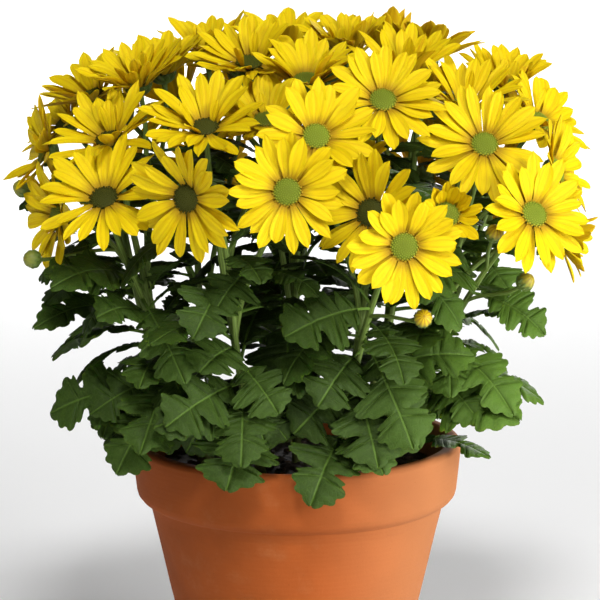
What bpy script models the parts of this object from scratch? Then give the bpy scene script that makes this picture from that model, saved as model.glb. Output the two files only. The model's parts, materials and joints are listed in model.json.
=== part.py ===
"""Pot chrysanthemum with open yellow daisy blooms in a plain terracotta pot.

The origin is on the ground under the middle of the plant, +Z is up and its best side faces -Y.
The tables are in millimetres and degrees. An azimuth is 0 towards the front and grows towards +X.
"""

import math
import random

import bmesh
import bpy
from mathutils import Vector
from mathutils.bvhtree import BVHTree
from mathutils.geometry import normal

MM = 0.001
GAP = 0.3
SEED = 11
SHORTEST_EDGE = 0.25
LEAST_FACING = 0.7
SHARP_ANGLE = 35
UP = Vector((0, 0, 1))

# Pot: radii and heights above its foot
POT_HEIGHT = 145
RIM_RADIUS = 80
COLLAR_RADIUS = 78
COLLAR_FOOT = 121
SHOULDER_RADIUS = 71.5
SHOULDER_HEIGHT = 114
FOOT_RADIUS = 45
MOUTH_RADIUS = 72.5
FLOOR_RADIUS = 40
FLOOR = 8
DRAIN_RADIUS = 10
LIP = 3
POT_SIDES = 28
LIP_STEPS = 2
FOOT_BEVEL = (1, 1.5)
COLLAR_BEVEL = (1.6, 5)

# Soil, and the part of each stem that stands in it
SOIL_TOP = 131
SOIL_CROWN = 3
SOIL_SIDES = 20
SOIL_EDGE = (4, 2)
ROOT_DEPTH = 35
ROOT_RADIUS = 46
ROOT_LEAN = 32
ROOT_CLEAR = 1
HOLE_CLEAR = 9

# Stems, stalks and flower heads
STEM_SIDES = 5
STALK_SIDES = 5
STEM_THICK = 2.3
STALK_THICK = 1.5
NECK_THICK = 1.1
STALK_STATIONS = 30
MAIN_RINGS = 6
STALK_RINGS = 3
LOWEST_FORK = 0.16
FORK_SPREAD = 0.42
NECK = 6.5
START_PULL = 0.4
END_PULL = 0.32
LONGEST_PULL = 30
FORK_PULL = 1.2
HEAD = ((-1.3, 5.8), (0.0, 4.4), (1.3, 6.2))
DISC_TOP = 2.9

# Rings of rays
RAYS = 11
RING_INNER = 4.9
RING_OUTER = 7.0
RING_HALF_HEIGHT = 0.6
RAY_WIDEST = 0.62
RAY_HALF_WIDTH = 4.7
RAY_TIP_HALF_WIDTH = 1.7
RAY_KEEL = 1.3
RAY_ROOT_HALF = 1.6
RAY_ARCH = 1.2
WEDGE_FILL = 0.255
CUP = 13
UPRIGHT_CUP = 37
UPRIGHT_FROM = 0.8
HALF_OPEN_CUP = 50
HALF_OPEN_WIDTH = 40
HALF_OPEN_FEWER = 3
DROOP = 20
RAY_STAGGER = 3
RAY_TREMOR = 5
RAY_REACH = (0.93, 1.05)
RAY_CLEAR = 0.4
RAY_BENDS = (0, 7, -7, 14, -14, 21, -21, 29, -29, 38, -38, 48)
RAY_LENGTHS = (1, 0.86, 0.72, 0.58)

# Leaves: stations along the midrib, with the share of the half-width at each
LEAF_LOBES = ((0.32, 0.48), (0.43, 0.30), (0.60, 1.0), (0.71, 0.50), (0.90, 0.66))
SMALL_LOBES = ((0.38, 0.72), (0.54, 0.62), (0.78, 0.85))
LEAF_RIBS = (0.0, 0.21, 0.48)
SMALL_RIBS = (0.0, 0.21)
PETIOLE = 0.21
PETIOLE_HALF = 1.0
RIB_HALF = 0.7
RIB_TAPER = (0.95, 0.35)
LEAF_DROOP = 0.10
LEAF_ARCH = 0.13
LEAF_ROOT = 4.5
LEAF_CLEAR = 0.5
LEAF_LOWEST = 135.5
STEEPEST = 1.4
LEAF_TURNS = ((0, 0), (14, 0), (-14, 0), (0, 16), (0, -16), (26, 0), (-26, 0), (14, 20), (-14, -20),
              (14, -20), (-14, 20), (38, 0), (-38, 0), (26, 32), (26, -32), (-26, 32), (-26, -32))
LEAF_SIZES = (1, 0.84, 0.7, 0.56)

# Buds: heights along the bud and radii
BUD = ((0.0, 1.4), (2.2, 3.6), (5.2, 4.3), (8.0, 2.4))
BUD_TOP = 8.8
BUD_STALK = 0.9
BUD_STALK_REACH = 16
BUD_STALK_DROP = 14
BUD_STALK_RINGS = 3
BUD_STALK_LOWEST = 0.2
BUD_STALK_PULL = 0.3
BUD_STALK_RISE = 3
BUD_NECK = 1

# Rows of blooms over the back: height, distance from the axis, how far they face up, and width
BACK_ROWS = {"low": (258, 116, 14, 58), "middle": (298, 96, 38, 56), "high": (317, 66, 72, 54)}


def back(row, azimuth):
    """A bloom of a back row: its place, the way it faces and its width."""
    height, distance, rise, width = BACK_ROWS[row]
    turn = math.radians(azimuth)
    return (distance * math.sin(turn), -distance * math.cos(turn), height, azimuth, rise, width)


# For each leafy stem, the azimuth of its root and its blooms: x, y, z, azimuth, elevation, width.
# The first bloom ends the main stem and the others end the stalks that branch from it.
STEMS = (
    (-58, ((-87, -42, 297, -35, 64, 60), (-88, -72, 274, -15, 52, 64), (-112, -34, 259, -62, 10, 56))),
    (-20, ((-42, -62, 305, -8, 62, 60), (-49, -100, 279, -34, 0, 62), (-4, -108, 283, -2, 20, 57),
           (-14, -44, 306, -5, 66, 52))),
    (22, ((40, -48, 316, 5, 46, 58), (34, -86, 270, -28, 22, 58), (48, -118, 260, 8, 15, 54),
          (9, -74, 303, 8, 34, 58), (68, -86, 269, 5, 25, 34), (22, -46, 287, 60, 72, 46))),
    (65, ((80, -14, 309, 15, 72, 58), (109, -68, 266, 28, 32, 58), (87, -52, 296, 5, 40, 62),
          (127, -30, 248, 80, -5, 34), (123, -14, 278, 72, 22, 58))),
    (105, ((103, 48, 311, 40, 72, 52), (119, 30, 295, 60, 45, 58), back("low", 118))),
    (140, ((63, 40, 326, 130, 80, 54), (45, 70, 324, 160, 74, 54), back("low", 146), back("middle", 136))),
    (-175, (back("high", 166), back("low", 174), back("low", -158), back("middle", 162),
            back("middle", -170))),
    (-132, (back("middle", -142), back("high", -155), back("low", -130), back("middle", -116))),
    (-92, ((-98, 6, 311, -60, 66, 56), (-75, -14, 320, -40, 72, 54), (-65, 24, 321, -45, 78, 52),
           (-119, -14, 287, -80, 20, 56), (-113, 34, 294, -75, 45, 54))),
    (None, ((-5, 32, 331, 0, 84, 54), (-22, -14, 329, -10, 66, 56), (5, -28, 323, 5, 72, 54),
            (24, 20, 332, 10, 82, 50), (51, -2, 323, 10, 72, 56), (-44, 44, 327, -60, 84, 52))),
)

# Leaves that show from the front: where they spring from, their tip, width, lean of their face
FRONT_LEAVES = (
    ((-79, -30, 219), (-118, -50, 235), 29, 40), ((-95, -20, 197), (-124, -35, 207), 29, 20),
    ((-69, -45, 211), (-92, -70, 219), 29, 30), ((-56, -60, 223), (-51, -84, 190), 29, 60),
    ((-16, -62, 205), (-44, -88, 197), 36, 50), ((-6, -62, 238), (-37, -88, 225), 31, 40),
    ((35, -66, 222), (-5, -92, 214), 38, 55), ((-78, -20, 172), (-118, -30, 164), 36, 50),
    ((-77, -30, 180), (-97, -50, 168), 29, 50), ((-61, -55, 180), (-72, -84, 157), 34, 55),
    ((-70, -25, 158), (-92, -42, 153), 22, 20), ((-50, -56, 189), (-48, -80, 166), 26, 60),
    ((-24, -60, 166), (-64, -88, 158), 34, 50), ((-3, -62, 167), (-32, -92, 142), 41, 55),
    ((-15, -60, 195), (-8, -86, 176), 31, 55), ((3, -64, 165), (7, -92, 136), 36, 55),
    ((2, -60, 170), (40, -88, 150), 31, 50), ((36, -64, 186), (38, -88, 151), 36, 65),
    ((42, -60, 204), (54, -88, 160), 36, 60), ((64, -40, 170), (103, -66, 170), 41, 55),
    ((70, -40, 193), (101, -68, 174), 31, 40), ((84, -35, 222), (112, -58, 206), 29, 35),
    ((98, -30, 237), (124, -48, 246), 24, 30), ((31, -60, 200), (10, -88, 180), 34, 55),
    ((88, -45, 222), (56, -86, 238), 34, 45), ((58, -45, 205), (72, -66, 180), 29, 50),
    ((-93, -20, 239), (-126, -22, 236), 31, 20), ((-30, -40, 190), (-52, -62, 150), 36, 60),
    ((-12, -35, 185), (-22, -62, 148), 38, 60), ((8, -35, 185), (14, -64, 148), 38, 60),
    ((28, -40, 190), (58, -66, 155), 38, 60), ((0, -20, 205), (-6, -50, 168), 38, 60),
)

# Buds: the place of each bud's foot and the way it points
BUDS = (
    ((-126, -12, 268), (-70, 20)), ((-120, -40, 240), (-50, 10)), ((33, -100, 248), (5, 70)),
    ((57, -97, 222), (5, 25)), ((90, -68, 254), (20, 50)), ((103, -58, 230), (60, 40)),
    ((96, 82, 236), (125, 20)), ((-70, 92, 240), (-140, 20)),
)

# Leaves by rule: how many along each stem, told by the azimuth of its root, and their form
RULE_LEAVES = {-58: 4, -20: 4, 22: 4, 65: 4, 105: 6, 140: 6, -175: 6, -132: 6, -92: 5, None: 5}
GOLDEN_TURN = 137.5
RULE_LOWEST = 0.16
RULE_HIGHEST = 0.74
RULE_ASIDE = (15, 85)
RULE_RISE = (-42, -4)
RULE_LIFT = 30
RULE_LENGTH = 62
RULE_SHRINK = 0.25
RULE_WIDTH = 0.66
SIZE_RANGE = (0.85, 1.1)
SMALL_LENGTH = 30
SMALL_EVERY = 5
SMALL_SEED = 33
SMALL_PLACE = 0.62
TOP_PLACE = 0.86
SMALL_RISE = (-5, 25)
SMALL_TILT = 0.4

MATERIALS = {
    "terracotta": ((0.50, 0.17, 0.06), 0.82),
    "potting_soil": ((0.035, 0.022, 0.014), 0.95),
    "foliage": ((0.045, 0.13, 0.022), 0.55),
    "rays": ((0.92, 0.72, 0.01), 0.55),
}


def heading(azimuth, elevation=0):
    """Unit vector for an azimuth and an elevation."""
    turn = math.radians(azimuth)
    rise = math.radians(elevation)
    return Vector((math.sin(turn) * math.cos(rise), -math.cos(turn) * math.cos(rise), math.sin(rise)))


def material(slot):
    """The Principled material of a slot, made once."""
    found = bpy.data.materials.get(slot)
    if found:
        return found
    color, roughness = MATERIALS[slot]
    made = bpy.data.materials.new(slot)
    made.use_nodes = True
    shader = made.node_tree.nodes["Principled BSDF"]
    shader.inputs["Base Color"].default_value = (*color, 1)
    shader.inputs["Roughness"].default_value = roughness
    return made


def solid(name, form, slot):
    """An object of a form, which is its vertices in millimetres and its faces."""
    vertices, faces = form
    mesh = bpy.data.meshes.new(name)
    mesh.from_pydata([Vector(v) * MM for v in vertices], [], faces)
    shape = bmesh.new()
    shape.from_mesh(mesh)
    bmesh.ops.recalc_face_normals(shape, faces=shape.faces)
    shape.to_mesh(mesh)
    shape.free()
    mesh.materials.append(material(slot))
    made = bpy.data.objects.new(name, mesh)
    bpy.context.scene.collection.objects.link(made)
    return made


def combine(made, others, operation):
    """Unites an object with others, or cuts them from it, and removes them."""
    group = bpy.data.collections.new(made.name + "_parts")
    bpy.context.scene.collection.children.link(group)
    for other in others:
        bpy.context.scene.collection.objects.unlink(other)
        group.objects.link(other)
    boolean = made.modifiers.new("join", "BOOLEAN")
    boolean.operation = operation
    boolean.operand_type = "COLLECTION"
    boolean.collection = group
    boolean.solver = "EXACT"
    graph = bpy.context.evaluated_depsgraph_get()
    result = bpy.data.meshes.new_from_object(made.evaluated_get(graph))
    made.modifiers.clear()
    close_short_edges(result)
    made.data = result
    for other in others:
        bpy.data.objects.remove(other)
    bpy.data.collections.remove(group)


def keeps_facing(edge, middle):
    """Whether the faces round an edge keep the way they face when it closes to its middle."""
    for end in edge.verts:
        for face in end.link_faces:
            if edge in face.edges:
                continue
            before = normal([v.co for v in face.verts])
            after = normal([middle if v is end else v.co for v in face.verts])
            if before.dot(after) < LEAST_FACING:
                return False
    return True


def close_short_edges(mesh):
    """Closes the very short edges that a union leaves, where the surface stays closed and uncrossed."""
    shape = bmesh.new()
    shape.from_mesh(mesh)
    bmesh.ops.triangulate(shape, faces=shape.faces)
    found = True
    while found:
        found = False
        for edge in sorted(shape.edges, key=lambda e: e.calc_length()):
            if edge.calc_length() > SHORTEST_EDGE * MM:
                break
            ends = list(edge.verts)
            around = [{e.other_vert(v) for e in v.link_edges} for v in ends]
            middle = (ends[0].co + ends[1].co) / 2
            if len(around[0] & around[1]) == 2 and keeps_facing(edge, middle):
                bmesh.ops.pointmerge(shape, verts=ends, merge_co=middle)
                found = True
                break
    shape.to_mesh(mesh)
    shape.free()


def arc(center, radius, start, end, steps):
    """Points of an arc in a profile."""
    angles = [math.radians(start + (end - start) * i / steps) for i in range(steps + 1)]
    return [(center[0] + radius * math.cos(a), center[1] + radius * math.sin(a)) for a in angles]


def turned(profile, sides):
    """Form turned from a closed profile of radii and heights; a radius of 0 is a pole."""
    vertices, rings = [], []
    for radius, height in profile:
        if radius == 0:
            rings.append([len(vertices)])
            vertices.append((0, 0, height))
            continue
        rings.append(list(range(len(vertices), len(vertices) + sides)))
        for i in range(sides):
            turn = math.tau * i / sides
            vertices.append((radius * math.cos(turn), radius * math.sin(turn), height))
    faces = []
    for lower, upper in zip(rings, rings[1:] + rings[:1]):
        for i in range(sides):
            j = (i + 1) % sides
            if len(lower) > 1 and len(upper) > 1:
                faces.append((lower[i], lower[j], upper[j], upper[i]))
            elif len(lower) > 1:
                faces.append((lower[i], lower[j], upper[0]))
            elif len(upper) > 1:
                faces.append((lower[0], upper[j], upper[i]))
    return vertices, faces


def make_pot():
    """The pot, with its collar, tapering body, foot and drain hole."""
    foot = [(FOOT_RADIUS - FOOT_BEVEL[0], 0), (FOOT_RADIUS, FOOT_BEVEL[1])]
    shoulder = [(SHOULDER_RADIUS, SHOULDER_HEIGHT)]
    collar = [(COLLAR_RADIUS - COLLAR_BEVEL[0], COLLAR_FOOT - COLLAR_BEVEL[1]), (COLLAR_RADIUS, COLLAR_FOOT)]
    lip = arc((RIM_RADIUS - LIP, POT_HEIGHT - LIP), LIP, 0, 90, LIP_STEPS)
    lip += arc((MOUTH_RADIUS + LIP, POT_HEIGHT - LIP), LIP, 90, 180, LIP_STEPS)
    inside = [(FLOOR_RADIUS, FLOOR), (DRAIN_RADIUS, FLOOR), (DRAIN_RADIUS, 0)]
    pot = solid("pot", turned(foot + shoulder + collar + lip + inside, POT_SIDES), "terracotta")
    pot.data.shade_smooth()
    pot.data.set_sharp_from_angle(angle=math.radians(SHARP_ANGLE))


def mouth_radius(height):
    """Radius of the pot's inside at a height."""
    share = (height - FLOOR) / (POT_HEIGHT - LIP - FLOOR)
    return FLOOR_RADIUS + (MOUTH_RADIUS - FLOOR_RADIUS) * share


def make_soil(roots):
    """The soil, a little clear of the pot, with a plain hole for each stem."""
    low = FLOOR + GAP
    edge = SOIL_TOP - SOIL_EDGE[1]
    clear = 2 * GAP
    profile = [(0, low), (mouth_radius(low) - clear, low), (mouth_radius(edge) - clear, edge),
               (mouth_radius(edge) - SOIL_EDGE[0], SOIL_TOP), (0, SOIL_TOP + SOIL_CROWN)]
    soil = solid("soil", turned(profile, SOIL_SIDES), "potting_soil")
    depth = ROOT_DEPTH + GAP
    hole_radius = STEM_THICK + GAP / math.cos(math.pi / STEM_SIDES)
    cutters = []
    for root in roots:
        foot = Vector((root.x, root.y, SOIL_TOP - depth))
        form = sweep([foot, foot + UP * (depth + HOLE_CLEAR)], [hole_radius] * 2, STEM_SIDES)
        cutters.append(solid("hole", form, "potting_soil"))
    combine(soil, cutters, "DIFFERENCE")


def bezier(p0, p1, p2, p3, t):
    """Point of a cubic curve."""
    s = 1 - t
    return p0 * s ** 3 + p1 * (3 * s * s * t) + p2 * (3 * s * t * t) + p3 * t ** 3


def sweep(points, radii, sides, tip=None):
    """Closed tube through points; with a tip it ends in that point."""
    vertices, faces = [], []
    across = Vector((1, 0, 0))
    last = len(points) - 1
    for i, (point, radius) in enumerate(zip(points, radii)):
        ahead = points[min(i + 1, last)] - points[max(i - 1, 0)]
        ahead.normalize()
        across = (across - ahead * across.dot(ahead)).normalized()
        beside = ahead.cross(across)
        for k in range(sides):
            turn = math.tau * k / sides
            vertices.append(point + (across * math.cos(turn) + beside * math.sin(turn)) * radius)
    for i in range(last):
        for k in range(sides):
            j = (k + 1) % sides
            low, high = i * sides, (i + 1) * sides
            faces.append((low + k, low + j, high + j, high + k))
    faces.append(tuple(reversed(range(sides))))
    top = last * sides
    if tip is None:
        faces.append(tuple(range(top, top + sides)))
    else:
        vertices.append(tip)
        faces += [(top + k, top + (k + 1) % sides, len(vertices) - 1) for k in range(sides)]
    return vertices, faces


class Stalk:
    """A main stem or a stalk: the curve that it follows from its foot to a bloom's neck."""

    def __init__(self, foot, start, bloom, thick):
        self.axis = heading(bloom[3], bloom[4])
        self.side = self.axis.cross(UP if abs(self.axis.z) < 0.9 else Vector((0, 1, 0))).normalized()
        self.top = self.side.cross(self.axis)
        self.center = Vector(bloom[:3])
        self.foot = foot
        self.end = self.center - self.axis * NECK
        reach = (self.end - foot).length
        rise = min(LONGEST_PULL, reach * END_PULL)
        self.bend = (foot, foot + start * reach * START_PULL, self.end - self.axis * rise, self.end)
        self.thick = thick

    def at(self, t):
        """Point at a share of the length."""
        return bezier(*self.bend, t)

    def ahead(self, t):
        """Direction at a share of the length."""
        return (self.at(t + 0.01) - self.at(t - 0.01)).normalized()

    def outward(self, turn):
        """Direction across the bloom at a turn about its axis."""
        return self.side * math.cos(turn) + self.top * math.sin(turn)

    def form(self, stations, sides, root=None):
        """The stalk with its flower head as one closed form."""
        points = [self.at(i / stations) for i in range(stations + 1)]
        radii = [self.thick + (NECK_THICK - self.thick) * i / stations for i in range(stations + 1)]
        if root is not None:
            points.insert(0, root)
            radii.insert(0, self.thick)
        for height, radius in HEAD:
            points.append(self.center + self.axis * height)
            radii.append(radius)
        return sweep(points, radii, sides, self.center + self.axis * DISC_TOP)


def plan_stalks():
    """The stalks of each stem, the main one first, and each stem's place in the soil."""
    plants, roots = [], []
    for azimuth, blooms in STEMS:
        out = heading(azimuth) if azimuth is not None else Vector()
        root = out * ROOT_RADIUS + UP * (SOIL_TOP - ROOT_DEPTH)
        foot = out * ROOT_RADIUS + UP * (SOIL_TOP + SOIL_CROWN + ROOT_CLEAR)
        lean = (UP + out * math.tan(math.radians(ROOT_LEAN))).normalized()
        main = Stalk(foot, lean, blooms[0], STEM_THICK)
        stalks = [main]
        for i, bloom in enumerate(blooms[1:]):
            t = LOWEST_FORK + FORK_SPREAD * (i + 0.5) / max(len(blooms) - 1, 1)
            fork = main.at(t)
            start = (main.ahead(t) * FORK_PULL + (Vector(bloom[:3]) - fork).normalized()).normalized()
            stalks.append(Stalk(fork, start, bloom, STALK_THICK))
        plants.append(stalks)
        roots.append(root)
    return plants, roots


def nearest(plants, place, lowest=0.08, highest=0.9):
    """The stem, and the point on one of its stalks, nearest to a place."""
    best = None
    for number, stalks in enumerate(plants):
        for stalk in stalks:
            for i in range(STALK_STATIONS + 1):
                point = stalk.at(lowest + (highest - lowest) * i / STALK_STATIONS)
                distance = (point - place).length
                if best is None or distance < best[0]:
                    best = (distance, number, point)
    return best[1], best[2]


def make_ring(stalk, rays):
    """Ring of rays round a head; rays gives each ray's bend and length, or nothing for a bare wedge."""
    def place(turn, radius, height):
        return stalk.center + stalk.outward(turn) * radius + stalk.axis * height

    count = len(rays)
    wedge = math.tau / count
    vertices, faces = [], []
    for i in range(count):
        turn = wedge * (i - 0.5)
        vertices += [place(turn, RING_INNER, 0), place(turn, RING_OUTER, RING_HALF_HEIGHT),
                     place(turn, RING_OUTER, -RING_HALF_HEIGHT)]
    for i, ray in enumerate(rays):
        a, b = 3 * i, 3 * ((i + 1) % count)
        faces += [(a, b, b + 1), (a, b + 1, a + 1), (a, b + 2, b), (a, a + 2, b + 2)]
        if ray is None:
            faces += [(a + 1, b + 1, b + 2), (a + 1, b + 2, a + 2)]
            continue
        bend, length = ray
        points = ray_points(bend, length, wedge)
        first = len(vertices)
        vertices += [place(wedge * i + math.atan2(y, r), math.hypot(r, y), h) for r, y, h in points]
        left, right, keel, tip_left, tip_right = range(first, first + 5)
        faces += [(a + 1, b + 1, right), (a + 1, right, left), (a + 2, keel, b + 2), (a + 2, left, keel),
                  (b + 2, keel, right), (a + 1, left, a + 2), (b + 1, b + 2, right),
                  (left, right, tip_right), (left, tip_right, tip_left), (left, tip_left, keel),
                  (keel, tip_left, tip_right), (keel, tip_right, right)]
    return vertices, faces


def ray_points(bend, length, wedge, clear=0):
    """Widest station and tip of a ray in its own radial plane: radius, sideways and height."""
    rise = math.radians(bend)
    middle = length * RAY_WIDEST
    radius = RING_OUTER + middle * math.cos(rise)
    height = middle * math.sin(rise) + RAY_ARCH
    end = RING_OUTER + length * math.cos(rise)
    drop = length * math.sin(rise)
    half = min(RAY_HALF_WIDTH, WEDGE_FILL * radius * wedge / (math.tau / RAYS)) + clear
    tip = min(RAY_TIP_HALF_WIDTH, WEDGE_FILL * end) + clear
    return [(radius, -half, height), (radius, half, height), (radius, 0, height - RAY_KEEL - clear),
            (end + clear, -tip, drop), (end + clear, tip, drop)]


def form_of(made):
    """The form of an object's mesh, in millimetres."""
    mesh = made.data
    return [v.co / MM for v in mesh.vertices], [tuple(face.vertices) for face in mesh.polygons]


def tree_of(forms):
    """Search tree of many forms."""
    vertices, faces = [], []
    for form in forms:
        first = len(vertices)
        vertices += form[0]
        faces += [tuple(first + i for i in face) for face in form[1]]
    return BVHTree.FromPolygons(vertices, faces)


def ray_clear_form(stalk, turn, wedge, bend, length):
    """A swollen slab round one ray, to test what it would touch."""
    out = stalk.outward(turn)
    beside = stalk.axis.cross(out)
    swell = stalk.axis * RAY_CLEAR
    root = stalk.center + out * (RING_OUTER + RAY_CLEAR)
    middle = [root - beside * RAY_ROOT_HALF, root + beside * RAY_ROOT_HALF]
    for radius, sideways, height in ray_points(bend, length, wedge, RAY_CLEAR):
        middle.append(stalk.center + out * radius + beside * sideways + stalk.axis * height)
    count = len(middle)
    top = [(0, 1, 3), (0, 3, 2), (2, 3, 6), (2, 6, 5)]
    bottom = [(0, 2, 4), (0, 4, 1), (1, 4, 3), (2, 5, 4), (4, 5, 6), (4, 6, 3)]
    faces = top + [tuple(count + i for i in face) for face in bottom]
    for i, j in ((0, 2), (2, 5), (5, 6), (6, 3), (3, 1), (1, 0)):
        faces += [(i, j, count + j), (i, count + j, count + i)]
    return [p + swell for p in middle] + [p - swell for p in middle], faces


def choose_rays(stalk, width, draw, others):
    """For each wedge of a bloom, the first bend and length of ray that touches nothing."""
    half_open = width < HALF_OPEN_WIDTH
    count = RAYS - HALF_OPEN_FEWER if half_open else RAYS
    upright = max(0, (stalk.axis.z - UPRIGHT_FROM) / (1 - UPRIGHT_FROM))
    cup = HALF_OPEN_CUP if half_open else CUP + (UPRIGHT_CUP - CUP) * upright
    length = (width / 2 - RING_OUTER) / math.cos(math.radians(cup))
    wedge = math.tau / count
    rays = []
    for i in range(count):
        stagger = RAY_STAGGER if i % 2 else -RAY_STAGGER
        wish = cup + DROOP * stalk.outward(wedge * i).z + draw.uniform(-RAY_TREMOR, RAY_TREMOR) + stagger
        reach = length * draw.uniform(*RAY_REACH)
        rays.append(None)
        for share, change in [(s, c) for s in RAY_LENGTHS for c in RAY_BENDS]:
            form = ray_clear_form(stalk, wedge * i, wedge, wish + change, reach * share)
            if not tree_of([form]).overlap(others):
                rays[-1] = (wish + change, reach * share)
                break
    return rays


def leaf_form(base, tip, face, width, lobes, ribs, clear=0):
    """A lobed leaf with its stalk: a thin closed lens, arched between its base and its tip."""
    along = tip - base
    length = along.length
    above = (face - along * (face.dot(along) / along.length_squared)).normalized()
    side = along.cross(above).normalized()

    def spine(s):
        return base + along * s + above * (LEAF_ARCH * length * 4 * s * (1 - s))

    def thick(s):
        return RIB_HALF * (1 if s < PETIOLE else RIB_TAPER[0] - RIB_TAPER[1] * s) + clear

    outline = [(0.0, None), (PETIOLE, None)] + list(lobes)
    edge = []
    for s, share in outline:
        half = PETIOLE_HALF if share is None else share * width / 2
        half += clear
        sink = 0 if share is None else LEAF_DROOP * half
        edge.append((spine(s) - above * sink, half))
    vertices = [p - side * half for p, half in edge] + [p + side * half for p, half in edge]
    count = len(edge)
    top = len(vertices)
    vertices += [spine(s) + above * thick(s) for s in ribs]
    bottom = len(vertices)
    vertices += [spine(s) - above * thick(s) for s in ribs]
    point = len(vertices)
    vertices.append(spine(1) + along.normalized() * clear)
    stations = [s for s, _ in outline]
    rib_stations = list(ribs)
    faces = []
    for first in (0, count):
        for rib in (top, bottom):
            i = j = 0
            while i < count - 1 or j < len(ribs) - 1:
                if j < len(ribs) - 1 and (i == count - 1 or rib_stations[j + 1] <= stations[i + 1]):
                    faces.append((first + i, rib + j, rib + j + 1))
                    j += 1
                else:
                    faces.append((first + i, first + i + 1, rib + j))
                    i += 1
            faces.append((first + i, point, rib + j))
    faces.append((0, top, count, bottom))
    return vertices, faces


def turned_tip(base, tip, pitch, yaw, share):
    """The tip of a leaf that is bent clear: lifted, turned and shortened about its base."""
    along = (tip - base) * share
    flat = Vector((along.x, along.y, 0))
    reach = max(flat.length, 0.001)
    azimuth = math.atan2(along.x, -along.y) + math.radians(yaw)
    rise = math.atan2(along.z, reach) + math.radians(pitch)
    rise = max(-STEEPEST, min(STEEPEST, rise))
    return base + heading(math.degrees(azimuth), math.degrees(rise)) * along.length


def place_leaf(base, tip, face, width, small, others):
    """The first bent form of a leaf that touches nothing and leaves the pot's rim to be seen, if any does."""
    lobes = SMALL_LOBES if small else LEAF_LOBES
    ribs = SMALL_RIBS if small else LEAF_RIBS
    for share in LEAF_SIZES:
        for pitch, yaw in LEAF_TURNS:
            end = turned_tip(base, tip, pitch, yaw, share)
            if end.z < LEAF_LOWEST:
                continue
            start = base + (end - base).normalized() * LEAF_ROOT
            tried = leaf_form(start, end, face, width * share, lobes, ribs, LEAF_CLEAR)
            if not tree_of([tried]).overlap(others):
                return leaf_form(base, end, face, width * share, lobes, ribs)
    return None


def wanted_leaves(plants):
    """Stem number, base, tip, face, width and size class of each leaf."""
    leaves = []
    for place, tip, width, lean in FRONT_LEAVES:
        number, base = nearest(plants, Vector(place))
        tilt = math.radians(lean)
        face = Vector((0, -math.sin(tilt), math.cos(tilt)))
        leaves.append((number, base, Vector(tip), face, width, False))
    for number, (azimuth, _) in enumerate(STEMS):
        draw = random.Random(SEED + number)
        count = RULE_LEAVES[azimuth]
        main = plants[number][0]
        for k in range(count):
            t = RULE_LOWEST + (RULE_HIGHEST - RULE_LOWEST) * (k + 0.5) / count
            turn = GOLDEN_TURN * k if azimuth is None else azimuth + (-1) ** k * draw.uniform(*RULE_ASIDE)
            rise = draw.uniform(*RULE_RISE) + RULE_LIFT * t
            length = RULE_LENGTH * draw.uniform(*SIZE_RANGE) * (1 - RULE_SHRINK * t)
            base = main.at(t)
            out = heading(turn, rise)
            face = UP + heading(turn)
            leaves.append((number, base, base + out * length, face, length * RULE_WIDTH, False))
    for number, stalks in enumerate(plants):
        draw = random.Random(SMALL_SEED + number)
        for k, stalk in enumerate(stalks):
            if (number + k) % SMALL_EVERY:
                continue
            base = stalk.at(SMALL_PLACE if k else TOP_PLACE)
            turn = draw.uniform(-180, 180)
            out = heading(turn, draw.uniform(*SMALL_RISE))
            length = SMALL_LENGTH * draw.uniform(*SIZE_RANGE)
            leaves.append((number, base, base + out * length, UP + heading(turn) * SMALL_TILT,
                           length * RULE_WIDTH, True))
    return leaves


def bud_form(plants, foot, facing):
    """A closed bud on its thin stalk, and the number of the stem that bears it."""
    axis = heading(*facing)
    foot = Vector(foot)
    number, base = nearest(plants, foot - axis * BUD_STALK_REACH - UP * BUD_STALK_DROP, BUD_STALK_LOWEST)
    start = base + (foot - base) * BUD_STALK_PULL + UP * BUD_STALK_RISE
    bend = (base, start, foot - axis * BUD_STALK_REACH / 2, foot)
    points = [bezier(*bend, i / BUD_STALK_RINGS) for i in range(BUD_STALK_RINGS + 1)]
    radii = [BUD_STALK] * len(points)
    for height, radius in BUD:
        points.append(foot + axis * (height + BUD_NECK))
        radii.append(radius)
    return number, sweep(points, radii, STALK_SIDES, foot + axis * (BUD_TOP + BUD_NECK))


def build():
    """The whole plant in its pot."""
    plants, roots = plan_stalks()
    make_pot()
    make_soil(roots)
    fixed = [form_of(bpy.data.objects[name]) for name in ("pot", "soil")]
    greens = []
    for number, stalks in enumerate(plants):
        forms = [stalks[0].form(MAIN_RINGS, STEM_SIDES, roots[number])]
        forms += [stalk.form(STALK_RINGS, STALK_SIDES) for stalk in stalks[1:]]
        greens.append(forms)
    for foot, facing in BUDS:
        number, form = bud_form(plants, foot, facing)
        greens[number].append(form)
    stalk_forms = [form for forms in greens for form in forms]
    order = []
    for number, stalks in enumerate(plants):
        for k, stalk in enumerate(stalks):
            bloom = STEMS[number][1][k]
            order.append((stalk.center.y, f"bloom_{number + 1}_{k + 1}", stalk, bloom[5]))
    order.sort(key=lambda entry: entry[0])
    bare = {name: make_ring(stalk, [None] * RAYS) for _, name, stalk, _ in order}
    rings = {}
    draw = random.Random(SEED)
    for _, name, stalk, width in order:
        near = [rings.get(other, bare[other]) for other in bare if other != name]
        rays = choose_rays(stalk, width, draw, tree_of(fixed + stalk_forms + near))
        rings[name] = make_ring(stalk, rays)
    for name, form in rings.items():
        solid(name, form, "rays")
    placed = fixed + stalk_forms + list(rings.values())
    for number, base, tip, face, width, small in wanted_leaves(plants):
        form = place_leaf(base, tip, face, width, small, tree_of(placed))
        if form:
            greens[number].append(form)
            placed.append(form)
    for number, forms in enumerate(greens):
        parts = [solid(f"leafy_stem_{number + 1}", form, "foliage") for form in forms]
        parts[0].name = f"leafy_stem_{number + 1}"
        combine(parts[0], parts[1:], "UNION")


def main():
    """Clears the scene and builds the part."""
    for old in list(bpy.data.objects):
        bpy.data.objects.remove(old)
    build()


main()
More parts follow.
